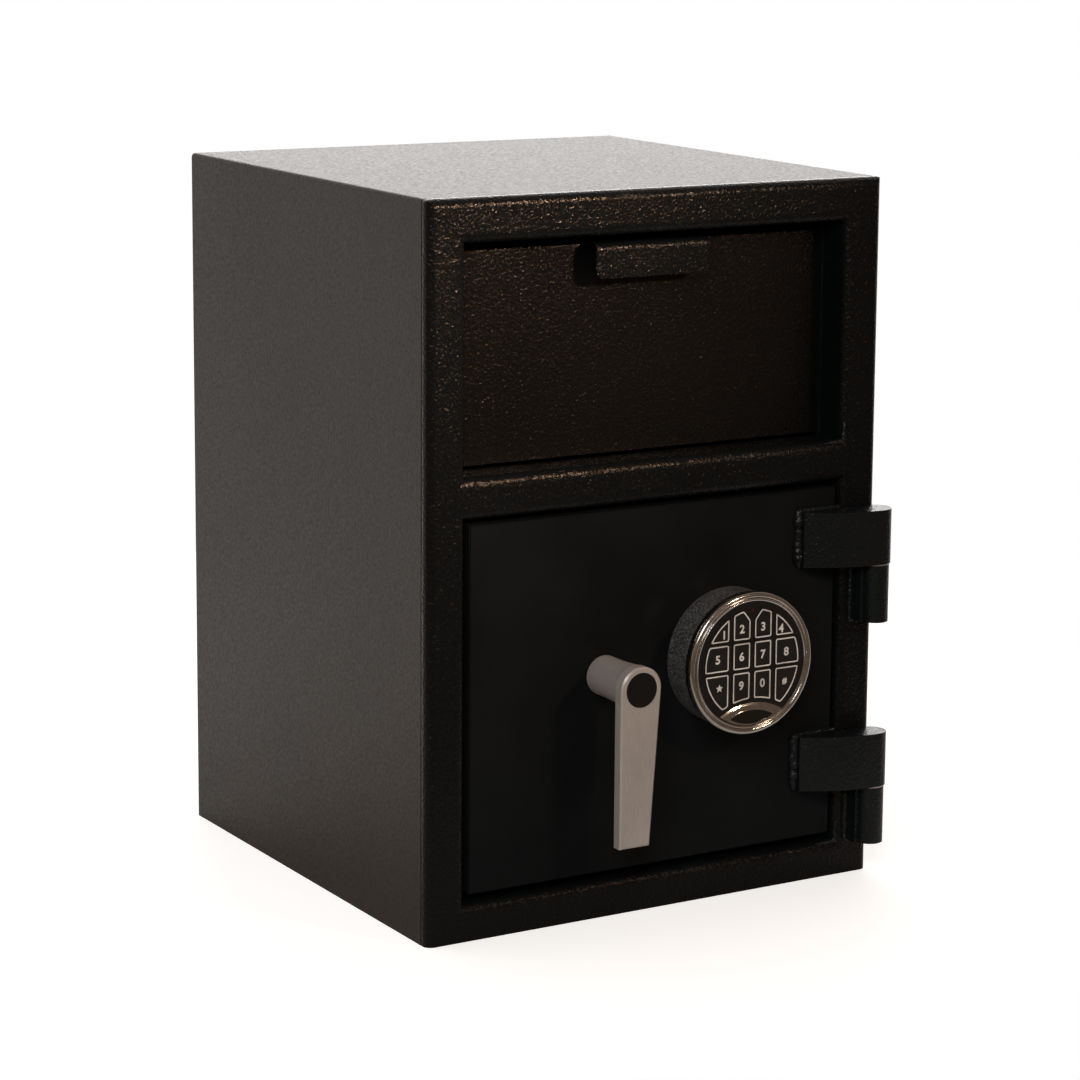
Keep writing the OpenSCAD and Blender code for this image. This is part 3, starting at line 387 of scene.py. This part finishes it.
def powder_coat(name, color, settings, specular, roughness, tint=(1, 1, 1), depth=1.0):
    """Fine wrinkled powder coat: pebbled grains, shinier on their tops, with a tinted sheen."""
    material = new_material(name, color, roughness, specular=specular)
    shader = material.node_tree.nodes["Principled BSDF"]
    shader.inputs["Specular Tint"].default_value = (*tint, 1)
    grains = add_noise(material, size=settings.wrinkle, detail=1.0, distortion=0.6)
    dust = add_noise(material, size=settings.wrinkle * 0.32, detail=1.0)
    cloud = add_noise(material, size=0.11, detail=3.0)
    relief_from(material, blend_values(material, grains, dust, share=0.12), settings.relief * depth)
    color_from(material, blend_values(material, grains, cloud, share=0.6),
               [shade_of(color, 0.84), shade_of(color, 1.16)])
    roughness_from(material, grains, roughness + 0.09, roughness - 0.07)
    return material


def satin_paint(name, color, roughness, specular, peel=0.007, depth=0.00001):
    """Smooth sprayed paint with a faint orange peel."""
    material = new_material(name, color, roughness, specular=specular)
    waves = add_noise(material, size=peel, detail=1.0)
    dust = add_noise(material, size=0.0009, detail=2.0)
    cloud = add_noise(material, size=0.09, detail=3.0)
    relief_from(material, blend_values(material, waves, dust, share=0.2), depth)
    color_from(material, cloud, [shade_of(color, 0.82), shade_of(color, 1.2)])
    haze = blend_values(material, cloud, dust, share=0.3)
    roughness_from(material, haze, roughness - 0.05, roughness + 0.06)
    return material


def drawn_metal(name, color, roughness, stretch, depth=0.000006, metallic=1.0):
    """Satin metal with fine streaks along one way."""
    material = new_material(name, color, roughness, metallic=metallic)
    streaks = add_noise(material, size=0.0007, detail=3.0, stretch=stretch)
    cloud = add_noise(material, size=0.02, detail=2.0)
    relief_from(material, streaks, depth)
    color_from(material, blend_values(material, streaks, cloud, share=0.4),
               [shade_of(color, 0.9), shade_of(color, 1.08)])
    roughness_from(material, streaks, roughness - 0.05, roughness + 0.06)
    return material


def plated_metal(name, color, roughness):
    """Zinc plate: a faint patchwork of crystals over a satin metal."""
    material = new_material(name, color, roughness, metallic=1.0)
    crystals = add_cells(material, size=0.005)
    grain = add_noise(material, size=0.0012, detail=3.0)
    mixed = blend_values(material, crystals, grain, share=0.5)
    color_from(material, mixed, [shade_of(color, 0.86), shade_of(color, 1.1)], stops=(0.25, 0.7))
    roughness_from(material, mixed, roughness + 0.08, roughness - 0.06)
    relief_from(material, grain, height=0.000012)
    return material


def polished_metal(name, color, roughness):
    """Bright metal with the faint smears of handling."""
    material = new_material(name, color, roughness, metallic=1.0)
    smears = add_noise(material, size=0.012, detail=4.0, distortion=1.2)
    color_from(material, smears, [shade_of(color, 0.94), shade_of(color, 1.04)])
    roughness_from(material, smears, roughness * 0.7, roughness * 1.8)
    relief_from(material, add_noise(material, size=0.004, detail=1.0), height=0.000004)
    return material


def moulded_plastic(name, color, roughness, specular, depth=0.00001):
    """Moulded plastic or rubber with a fine tool texture."""
    material = new_material(name, color, roughness, specular=specular)
    grain = add_noise(material, size=0.0006, detail=2.0)
    cloud = add_noise(material, size=0.015, detail=2.0)
    relief_from(material, grain, depth)
    color_from(material, cloud, [shade_of(color, 0.85), shade_of(color, 1.15)])
    roughness_from(material, grain, roughness - 0.05, roughness + 0.07)
    return material


def speckled_coat(name, dark, light):
    """Dark hammered coat with pale speckles, as on the keypad's housing."""
    material = new_material(name, dark, roughness=0.34, specular=0.4)
    specks = add_noise(material, size=0.0011, detail=2.0, distortion=0.4)
    hills = add_noise(material, size=0.0021, detail=1.0)
    color_from(material, specks, [dark, light], stops=(0.47, 0.66))
    relief_from(material, blend_values(material, specks, hills, share=0.5), height=0.0001)
    roughness_from(material, specks, low=0.42, high=0.26)
    return material


def select_only(*objects):
    """Leaves just these objects selected, the first of them active."""
    nothing_selected()
    for each in objects:
        each.select_set(True)
    bpy.context.view_layer.objects.active = objects[0]
    return objects[0]


def nothing_selected():
    """Leaves nothing selected, in object mode."""
    if bpy.context.mode != "OBJECT":
        bpy.ops.object.mode_set(mode="OBJECT")
    bpy.ops.object.select_all(action="DESELECT")


def settle(piece, name):
    """Names the piece and moves its place into its mesh."""
    select_only(piece)
    bpy.ops.object.transform_apply(location=True, rotation=True, scale=True)
    piece.name = name
    piece.data.name = name
    return piece


def apply_all(piece):
    """Applies the piece's modifiers in their order."""
    select_only(piece)
    for modifier in list(piece.modifiers):
        bpy.ops.object.modifier_apply(modifier=modifier.name)


def dress(piece, material, body):
    """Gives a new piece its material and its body."""
    piece.data.materials.clear()
    piece.data.materials.append(material)
    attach(piece, body)
    return piece


def middle_of(node):
    """The middle of a CAD node's box."""
    low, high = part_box(node)
    return (Vector(low) + Vector(high)) / 2


def outline_key(node, settings, material):
    """A printed line just inside the edge of a key's face."""
    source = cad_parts[node]
    piece = bpy.data.objects.new(node + "_line", source.data.copy())
    bpy.context.scene.collection.objects.link(piece)
    select_only(piece)
    bpy.ops.object.mode_set(mode="EDIT")
    bpy.ops.mesh.select_mode(type="VERT")
    bpy.ops.mesh.select_all(action="SELECT")
    bpy.ops.mesh.remove_doubles(threshold=0.000002)
    bpy.ops.mesh.select_all(action="DESELECT")
    bpy.ops.mesh.select_mode(type="FACE")
    bpy.ops.object.mode_set(mode="OBJECT")
    front = min(v.co.y for v in piece.data.vertices)
    for face in piece.data.polygons:
        face.select = face.normal.y > FRONT_FACING or face.center.y > front + FRONT_DEPTH
    bpy.ops.object.mode_set(mode="EDIT")
    bpy.ops.mesh.delete(type="FACE")
    bpy.ops.mesh.select_all(action="SELECT")
    bpy.ops.mesh.dissolve_limited(angle_limit=math.radians(0.5))
    bpy.ops.mesh.select_all(action="DESELECT")
    bpy.ops.mesh.select_mode(type="VERT")
    bpy.ops.object.mode_set(mode="OBJECT")
    mark_corners(piece.data, least=math.radians(20))
    bpy.ops.object.mode_set(mode="EDIT")
    bpy.ops.mesh.bevel(offset=settings.corner, segments=5, affect="VERTICES")
    bpy.ops.mesh.select_all(action="SELECT")
    bpy.ops.mesh.select_mode(type="FACE")
    bpy.ops.mesh.inset(thickness=LINE_INSET, depth=0)
    bpy.ops.mesh.select_all(action="INVERT")
    bpy.ops.mesh.delete(type="FACE")
    bpy.ops.mesh.select_all(action="SELECT")
    bpy.ops.mesh.inset(thickness=settings.line_width, depth=0)
    bpy.ops.mesh.delete(type="ONLY_FACE")
    bpy.ops.mesh.select_all(action="SELECT")
    bpy.ops.mesh.extrude_region_move(TRANSFORM_OT_translate={"value": (0, -settings.print_lift, 0)})
    bpy.ops.mesh.select_all(action="SELECT")
    bpy.ops.mesh.normals_make_consistent(inside=False)
    bpy.ops.object.mode_set(mode="OBJECT")
    piece.data.name = piece.name
    return dress(piece, material, node)


def mark_corners(mesh, least):
    """Selects the vertices where a flat face turns by more than the least angle."""
    for face in mesh.polygons:
        ring = list(face.vertices)
        for before, here, after in zip(ring[-1:] + ring[:-1], ring, ring[1:] + ring[:1]):
            a = mesh.vertices[here].co - mesh.vertices[before].co
            b = mesh.vertices[after].co - mesh.vertices[here].co
            if a.length > 0 and b.length > 0 and a.angle(b) > least:
                mesh.vertices[here].select = True


def print_sign(node, sign, x, z, settings, material):
    """One digit or sign, raised a little off its key."""
    centre = middle_of("keypad_pad")
    face_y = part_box(node)[0][1]
    place = (centre.x + x * MM, face_y, centre.z + z * MM)
    nothing_selected()
    if sign == "*":
        piece = star_sign(place, settings)
    else:
        bpy.ops.object.text_add(location=place, rotation=(math.radians(90), 0, 0))
        piece = bpy.context.active_object
        piece.data.body = sign
        piece.data.size = settings.sign_size * (HASH_SIZE if sign == "#" else 1)
        piece.data.align_x = "CENTER"
        piece.data.align_y = "CENTER"
        piece.data.offset = SIGN_WEIGHT
        piece.data.extrude = settings.print_lift
        piece.data.resolution_u = 4
        bpy.ops.object.convert(target="MESH")
        piece = bpy.context.active_object
    settle(piece, node + "_sign")
    return dress(piece, material, node)


def star_sign(place, settings):
    """A five-pointed star from a ring of ten points."""
    bpy.ops.mesh.primitive_circle_add(vertices=10, radius=settings.sign_size * STAR_REACH,
                                      fill_type="NGON", location=place,
                                      rotation=(math.radians(90), 0, 0))
    piece = bpy.context.active_object
    bpy.ops.object.mode_set(mode="EDIT")
    bpy.ops.mesh.select_mode(type="VERT")
    bpy.ops.mesh.select_all(action="DESELECT")
    bpy.ops.object.mode_set(mode="OBJECT")
    for index in range(1, 10, 2):
        piece.data.vertices[index].select = True
    bpy.ops.object.mode_set(mode="EDIT")
    bpy.ops.transform.resize(value=[STAR_WAIST] * 3, center_override=place)
    bpy.ops.mesh.select_all(action="SELECT")
    bpy.ops.mesh.extrude_region_move(TRANSFORM_OT_translate={"value": (0, -settings.print_lift, 0)})
    bpy.ops.mesh.select_all(action="SELECT")
    bpy.ops.mesh.normals_make_consistent(inside=False)
    bpy.ops.object.mode_set(mode="OBJECT")
    return piece


def weld_bead(name, path, ripple, chance):
    """A bead along a path of points and radii: overlapping drops melted into one skin."""
    drops = []
    for (start, first), (end, last) in zip(path[:-1], path[1:]):
        start, end = Vector(start), Vector(end)
        count = max(2, round((end - start).length / ripple))
        # Only the last stretch gets a drop on its end point
        drops_here = count + 1 if end == Vector(path[-1][0]) else count
        for step in range(drops_here):
            spot = start.lerp(end, step / count)
            nothing_selected()
            size = (first + (last - first) * step / count) * chance.uniform(*DROP_RADIUS)
            bpy.ops.mesh.primitive_ico_sphere_add(subdivisions=2, radius=size, location=spot)
            drop = bpy.context.active_object
            bpy.ops.object.mode_set(mode="EDIT")
            bpy.ops.transform.resize(value=[chance.uniform(*DROP_STRETCH) for _ in range(3)],
                                     center_override=spot)
            bpy.ops.object.mode_set(mode="OBJECT")
            drops.append(drop)
    piece = select_only(*drops)
    bpy.ops.object.join()
    melt = piece.modifiers.new("melt", "REMESH")
    melt.mode = "VOXEL"
    melt.voxel_size = 0.5 * MM
    smooth = piece.modifiers.new("smooth", "SMOOTH")
    smooth.iterations = 2
    apply_all(piece)
    bpy.ops.object.shade_smooth()
    return settle(piece, name)


def cross_screw(name, x, top, z):
    """A pan head with a cross recess over one of the cover's screws."""
    nothing_selected()
    bpy.ops.mesh.primitive_cylinder_add(vertices=48, radius=HEAD_RADIUS, depth=HEAD_DEPTH,
                                        location=(x, top - HEAD_DEPTH / 2, z),
                                        rotation=(math.radians(90), 0, 0))
    piece = bpy.context.active_object
    rounding = piece.modifiers.new("rounding", "BEVEL")
    rounding.width = HEAD_ROUNDING
    rounding.segments = 4
    apply_all(piece)
    for turn in (0, 90):
        nothing_selected()
        bpy.ops.mesh.primitive_cube_add(size=1, location=(x, top, z),
                                        rotation=(0, math.radians(turn + RECESS_TURN), 0),
                                        scale=RECESS_SIZE)
        blade = bpy.context.active_object
        cut = piece.modifiers.new("recess", "BOOLEAN")
        cut.operation = "DIFFERENCE"
        cut.object = blade
        apply_all(piece)
        bpy.data.objects.remove(blade)
    select_only(piece)
    bpy.ops.object.shade_smooth_by_angle(angle=math.radians(35))
    return settle(piece, name)


class SAFE_OT_coats(bpy.types.Operator):
    """Coat the frame, body, hinges and inside"""

    bl_idname = "safe.coats"
    bl_label = "Powder coats"

    def execute(self, context):
        coat = context.scene.safe_coat
        # The hinges wear the front's powder coat made 1.5 times lighter: a lit copy of the same coat,
        # painted light standing in for the brighter light that falls on them.
        hinge_lit_color = shade_of(coat.frame_color, 1.5)
        wear(FRAME_COAT, powder_coat("front_powder_coat", coat.frame_color, coat, specular=0.14,
                                     roughness=0.22, tint=coat.sheen_color))
        wear(["drawer_panel"], powder_coat("drawer_powder_coat", coat.drawer_color, coat,
                                           specular=0.12, roughness=0.25, tint=coat.sheen_color,
                                           depth=0.8))
        wear(HINGE_COAT, powder_coat("hinge_lit_powder_coat", hinge_lit_color, coat, specular=0.2,
                                     roughness=0.28, depth=0.8))
        wear(BODY_COAT, powder_coat("body_powder_coat", coat.body_color, coat, specular=0.17,
                                    roughness=0.44, depth=0.12))
        wear(INNER_COAT, satin_paint("inner_paint", coat.inner_color, roughness=0.45, specular=0.3))
        return {"FINISHED"}


class SAFE_OT_door_paint(bpy.types.Operator):
    """Paint the door plate"""

    bl_idname = "safe.door_paint"
    bl_label = "Door paint"

    def execute(self, context):
        color = context.scene.safe_coat.door_color
        paint = satin_paint("door_paint", color, roughness=0.35, specular=0.03, peel=0.009,
                            depth=0.000012)
        wear(["door_plate"], paint)
        return {"FINISHED"}


class SAFE_OT_metals(bpy.types.Operator):
    """Finish the pins, bolts, screws, lock and lever"""

    bl_idname = "safe.metals"
    bl_label = "Bare metals"

    def execute(self, context):
        metal = context.scene.safe_metal
        wear(ZINC, plated_metal("zinc_plate", metal.zinc_color, roughness=0.32))
        wear(BRASS, drawn_metal("turned_brass", metal.brass_color, roughness=0.28, stretch=(1, 1, 6)))
        wear(["live_bolts"], drawn_metal("polished_bolt", BOLT_STEEL, roughness=0.16,
                                         stretch=(12, 1, 1), depth=0.000003))
        wear(["lock_body"], plated_metal("cast_lock_case", CAST_CASE, roughness=0.42))
        wear(["handle_lever"], drawn_metal("satin_nickel", metal.lever_color, roughness=0.36,
                                           stretch=(1, 1, 9), metallic=0.3))
        return {"FINISHED"}


class SAFE_OT_keypad_finish(bpy.types.Operator):
    """Finish the keypad's housing, ring, plate, keys and inner parts"""

    bl_idname = "safe.keypad_finish"
    bl_label = "Keypad finish"

    def execute(self, context):
        chrome = context.scene.safe_metal.chrome_color
        wear(["keypad_base"], speckled_coat("speckled_housing", HOUSING_DARK, HOUSING_SPECK))
        wear(["keypad_ring", "badge_trim"], polished_metal("polished_chrome", chrome, roughness=0.12))
        wear(["keypad_pad"], moulded_plastic("key_plate_plastic", KEY_PLATE, roughness=0.3,
                                             specular=0.35))
        wear(KEY_SIGNS, moulded_plastic("key_rubber", KEY_RUBBER, roughness=0.42, specular=0.3))
        wear(["badge_insert"], moulded_plastic("badge_enamel", BADGE_ENAMEL, roughness=0.16,
                                               specular=0.5, depth=0.000002))
        wear(["handle_cap"], moulded_plastic("cap_plastic", CAP_PLASTIC, roughness=0.4, specular=0.2))
        wear(["indicator_light"], moulded_plastic("light_lens", LIGHT_LENS, roughness=0.14,
                                                  specular=0.5, depth=0.000002))
        wear(["circuit_board"], moulded_plastic("circuit_board", BOARD_GREEN, roughness=0.35,
                                                specular=0.5))
        wear(["battery"], satin_paint("battery_wrap", BATTERY_WRAP, roughness=0.35, specular=0.5))
        wear(["lock_lead"], moulded_plastic("lead_sleeve", LEAD_SLEEVE, roughness=0.5, specular=0.4))
        return {"FINISHED"}


class SAFE_OT_key_prints(bpy.types.Operator):
    """Print the outline and the sign of every key"""

    bl_idname = "safe.key_prints"
    bl_label = "Key prints"

    def execute(self, context):
        settings = context.scene.safe_keypad
        ink = moulded_plastic("key_print", settings.print_color, roughness=0.5, specular=0.3,
                              depth=0.000002)
        for node, (sign, x, z) in KEY_SIGNS.items():
            outline_key(node, settings, ink)
            print_sign(node, sign, x, z, settings, ink)
        return {"FINISHED"}


class SAFE_OT_welds(bpy.types.Operator):
    """Lay the painted weld beads of the hinges and of two corners of the frame"""

    bl_idname = "safe.welds"
    bl_label = "Weld beads"

    def execute(self, context):
        weld = context.scene.safe_weld
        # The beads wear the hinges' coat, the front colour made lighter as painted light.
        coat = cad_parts["hinge_strap_upper"].material_slots[0].material
        chance = random.Random(weld.seed)
        door_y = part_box("door_plate")[0][1]
        face_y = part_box("front_frame")[0][1]
        thin, thick = weld.bead_radius, weld.end_radius
        for place in ("upper", "lower"):
            low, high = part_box("hinge_strap_" + place)
            end = low[0] - 0.1 * thick
            path = [((low[0] + STRAP_BEAD_TOP, door_y, high[2]), 0.8 * thin),
                    ((low[0], door_y, high[2]), thin),
                    ((end, door_y, high[2] - 0.5 * thin), thick),
                    ((end, door_y, low[2] + thick), thick),
                    ((end, door_y, low[2] + 0.5 * thin), thin),
                    ((low[0] + STRAP_BEAD_LOW, door_y, low[2]), 0.7 * thin)]
            bead = weld_bead("strap_weld_" + place, path, weld.ripple, chance)
            dress(bead, coat, "door")
            low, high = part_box("hinge_leaf_" + place)
            path = [((low[0], face_y, high[2] - LEAF_BEAD_START), thin),
                    ((low[0], face_y, low[2]), thin),
                    ((low[0] + LEAF_BEAD_FOOT, face_y, low[2]), thin)]
            bead = weld_bead("leaf_weld_" + place, path, weld.ripple, chance)
            dress(bead, coat, "cabinet")
        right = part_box("drawer_panel")[1][0] + CORNER_OUT
        corner_y = face_y + CORNER_SINK
        for place, (node, below) in CORNER_WELDS.items():
            floor_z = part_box(node)[0][2] - below
            path = [((right - CORNER_ARM, corner_y, floor_z), 0.5 * thin),
                    ((right, corner_y, floor_z + CORNER_LEAN), 0.9 * thin),
                    ((right + CORNER_LEAN, corner_y, floor_z + CORNER_RISE), 0.5 * thin)]
            bead = weld_bead("corner_weld_" + place, path, weld.ripple, chance)
            dress(bead, coat, "cabinet")
        return {"FINISHED"}


class SAFE_OT_cover_screws(bpy.types.Operator):
    """Give the boltwork cover its pan head screws"""

    bl_idname = "safe.cover_screws"
    bl_label = "Cover screws"

    def execute(self, context):
        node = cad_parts["cover_screws"]
        steel = node.material_slots[0].material
        low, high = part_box("cover_screws")
        heads = []
        for column, x in enumerate((low[0] + HEAD_INSET, high[0] - HEAD_INSET)):
            for row, z in enumerate((low[2] + HEAD_INSET, high[2] - HEAD_INSET)):
                head = cross_screw(f"cover_screw_{column}_{row}", x, high[1], z)
                heads.append(dress(head, steel, "door"))
        for head in heads:
            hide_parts("cover_screws")
        return {"FINISHED"}


class SAFE_OT_studio(bpy.types.Operator):
    """Set up the floor, the room, the lamps and the camera"""

    bl_idname = "safe.studio"
    bl_label = "Studio"

    def execute(self, context):
        studio = context.scene.safe_studio
        lay_floor(studio)
        light_room(context.scene, studio)
        place_lamps(studio)
        place_camera(context.scene, studio)
        context.scene.view_settings.view_transform = "Standard"
        return {"FINISHED"}


def lay_floor(studio):
    """A pale floor: plain paint that takes shadows, with the white backdrop's glow where a camera,
    a gloss or glass looks at it. A gloss sees the glow come up from front to back."""
    nothing_selected()
    bpy.ops.mesh.primitive_plane_add(size=studio.floor_size, location=(0, FLOOR_Y, 0))
    floor = settle(bpy.context.active_object, "floor")
    material = new_material("pale_floor", studio.floor_color, roughness=0.9, specular=0.0)
    tree = material.node_tree
    shader = tree.nodes["Principled BSDF"]
    rays = tree.nodes.new("ShaderNodeLightPath")
    place = tree.nodes.new("ShaderNodeTexCoord")
    parts = tree.nodes.new("ShaderNodeSeparateXYZ")
    tree.links.new(place.outputs["Object"], parts.inputs[0])
    sweep = map_value(material, parts.outputs["Y"], 0.0, 1.0, SWEEP_START, SWEEP_END)
    mirrored = scale_value(tree, rays.outputs["Is Glossy Ray"], sweep)
    seen = largest_of(tree, rays.outputs["Is Camera Ray"], rays.outputs["Is Transmission Ray"], mirrored)
    glow = scale_value(tree, seen, studio.floor_glow)
    shader.inputs["Emission Color"].default_value = (1, 1, 1, 1)
    tree.links.new(glow, shader.inputs["Emission Strength"])
    floor.data.materials.append(material)


def scale_value(tree, value, factor):
    """A value times a number or times another value."""
    node = tree.nodes.new("ShaderNodeMath")
    node.operation = "MULTIPLY"
    tree.links.new(value, node.inputs[0])
    if isinstance(factor, float):
        node.inputs[1].default_value = factor
    else:
        tree.links.new(factor, node.inputs[1])
    return node.outputs[0]


def largest_of(tree, *values):
    """The largest of several values."""
    largest = values[0]
    for value in values[1:]:
        node = tree.nodes.new("ShaderNodeMath")
        node.operation = "MAXIMUM"
        tree.links.new(largest, node.inputs[0])
        tree.links.new(value, node.inputs[1])
        largest = node.outputs[0]
    return largest


def light_room(scene, studio):
    """A room that is bright behind the safe and dark in front of it. A camera sees plain white, and so
    does a gloss or glass where it looks at the backdrop."""
    world = bpy.data.worlds.new("studio_room")
    scene.world = world
    world.use_nodes = True
    tree = world.node_tree
    background = tree.nodes["Background"]
    place = tree.nodes.new("ShaderNodeTexCoord")
    parts = tree.nodes.new("ShaderNodeSeparateXYZ")
    room = tree.nodes.new("ShaderNodeMapRange")
    room.interpolation_type = "SMOOTHSTEP"
    room.inputs["From Min"].default_value = DARK_UNTIL
    room.inputs["From Max"].default_value = BRIGHT_FROM
    tree.links.new(place.outputs["Generated"], parts.inputs[0])
    tree.links.new(parts.outputs["Y"], room.inputs["Value"])
    rays = tree.nodes.new("ShaderNodeLightPath")
    behind = tree.nodes.new("ShaderNodeMath")
    behind.operation = "GREATER_THAN"
    behind.inputs[1].default_value = BACKDROP_FROM
    tree.links.new(parts.outputs["Y"], behind.inputs[0])
    mirrored = largest_of(tree, rays.outputs["Is Glossy Ray"], rays.outputs["Is Transmission Ray"])
    backdrop = scale_value(tree, behind.outputs[0], mirrored)
    white = largest_of(tree, rays.outputs["Is Camera Ray"], backdrop)
    walls = tree.nodes.new("ShaderNodeMix")
    walls.data_type = "RGBA"
    walls.inputs["A"].default_value = (*studio.room_front, 1)
    walls.inputs["B"].default_value = (*studio.room_behind, 1)
    tree.links.new(room.outputs["Result"], walls.inputs["Factor"])
    seen = tree.nodes.new("ShaderNodeMix")
    seen.data_type = "RGBA"
    seen.inputs["B"].default_value = (1, 1, 1, 1)
    tree.links.new(white, seen.inputs["Factor"])
    tree.links.new(walls.outputs["Result"], seen.inputs["A"])
    tree.links.new(seen.outputs["Result"], background.inputs["Color"])
    background.inputs["Strength"].default_value = 1.0


def soft_lamp(name, place, target, size, watts, color):
    """A rectangular lamp that faces its target."""
    nothing_selected()
    turn = (Vector(target) - Vector(place)).to_track_quat("-Z", "Y").to_euler()
    bpy.ops.object.light_add(type="AREA", location=place, rotation=turn)
    lamp = bpy.context.active_object
    lamp.name = name
    lamp.data.shape = "RECTANGLE"
    lamp.data.size, lamp.data.size_y = size
    lamp.data.energy = watts
    lamp.data.color = color
    return lamp


def warm_lamp(name, target, watts):
    """A small warm lamp with a narrow beam, at the front right."""
    lamp = soft_lamp(name, WARM_PLACE, target, (WARM_SIDE, WARM_SIDE), watts, WARM_COLOR)
    lamp.data.spread = math.radians(WARM_SPREAD)


def place_lamps(studio):
    """Two soft lamps, and two narrow warm ones that face the drawer and the door."""
    soft_lamp("front_lamp", place=(-1.3, -1.9, 1.5), target=(0, -0.1, 0.25), size=(0.9, 0.9),
              watts=studio.front_watts, color=(1, 0.98, 0.96))
    soft_lamp("rear_lamp", place=(1.25, 2.2, 1.25), target=(0, 0, 0.45), size=(1.8, 1.5),
              watts=studio.rear_watts, color=(1, 0.97, 0.95))
    warm_lamp("sheen_lamp", target=(-0.15, -0.18, 0.475), watts=studio.sheen_watts)
    warm_lamp("glint_lamp", target=(0.06, -0.2, 0.12), watts=studio.glint_watts)


def place_camera(scene, studio):
    """The camera, from where the photograph was taken."""
    turn = (Matrix.Rotation(studio.azimuth, 3, "Z")
            @ Matrix.Rotation(math.pi / 2 - studio.elevation, 3, "X")
            @ Matrix.Rotation(studio.roll, 3, "Z"))
    nothing_selected()
    bpy.ops.object.camera_add(location=studio.eye, rotation=turn.to_euler())
    camera = bpy.context.active_object
    camera.name = "camera"
    camera.data.lens = studio.lens
    camera.data.sensor_width = SENSOR_WIDTH
    camera.data.shift_x, camera.data.shift_y = studio.shift
    scene.camera = camera


class SAFE_PT_sidebar(bpy.types.Panel):
    """Lists the steps that dress the safe"""

    bl_idname = "SAFE_PT_sidebar"
    bl_label = "Drop safe"
    bl_space_type = "VIEW_3D"
    bl_region_type = "UI"
    bl_category = "Drop safe"

    def draw(self, context):
        for name, steps in STEPS.items():
            box = self.layout.box()
            settings = getattr(context.scene, name)
            for key in settings.__annotations__:
                box.prop(settings, key)
            for step in steps:
                box.operator(step.bl_idname)


STEPS = {
    "safe_coat": [SAFE_OT_coats, SAFE_OT_door_paint],
    "safe_metal": [SAFE_OT_metals],
    "safe_keypad": [SAFE_OT_keypad_finish, SAFE_OT_key_prints],
    "safe_weld": [SAFE_OT_welds, SAFE_OT_cover_screws],
    "safe_studio": [SAFE_OT_studio],
}
SETTINGS = {
    "safe_coat": SafeCoatSettings,
    "safe_metal": SafeMetalSettings,
    "safe_keypad": SafeKeypadSettings,
    "safe_weld": SafeWeldSettings,
    "safe_studio": SafeStudioSettings,
}


def register():
    for name, group in SETTINGS.items():
        bpy.utils.register_class(group)
        setattr(bpy.types.Scene, name, PointerProperty(type=group))
    for steps in STEPS.values():
        for step in steps:
            bpy.utils.register_class(step)
    bpy.utils.register_class(SAFE_PT_sidebar)


def unregister():
    bpy.utils.unregister_class(SAFE_PT_sidebar)
    for steps in STEPS.values():
        for step in steps:
            bpy.utils.unregister_class(step)
    for name, group in SETTINGS.items():
        delattr(bpy.types.Scene, name)
        bpy.utils.unregister_class(group)


def main():
    register()
    bpy.ops.safe.studio()
    bpy.ops.safe.coats()
    bpy.ops.safe.door_paint()
    bpy.ops.safe.metals()
    bpy.ops.safe.keypad_finish()
    bpy.ops.safe.key_prints()
    bpy.ops.safe.welds()
    bpy.ops.safe.cover_screws()


if __name__ == "__main__":
    main()
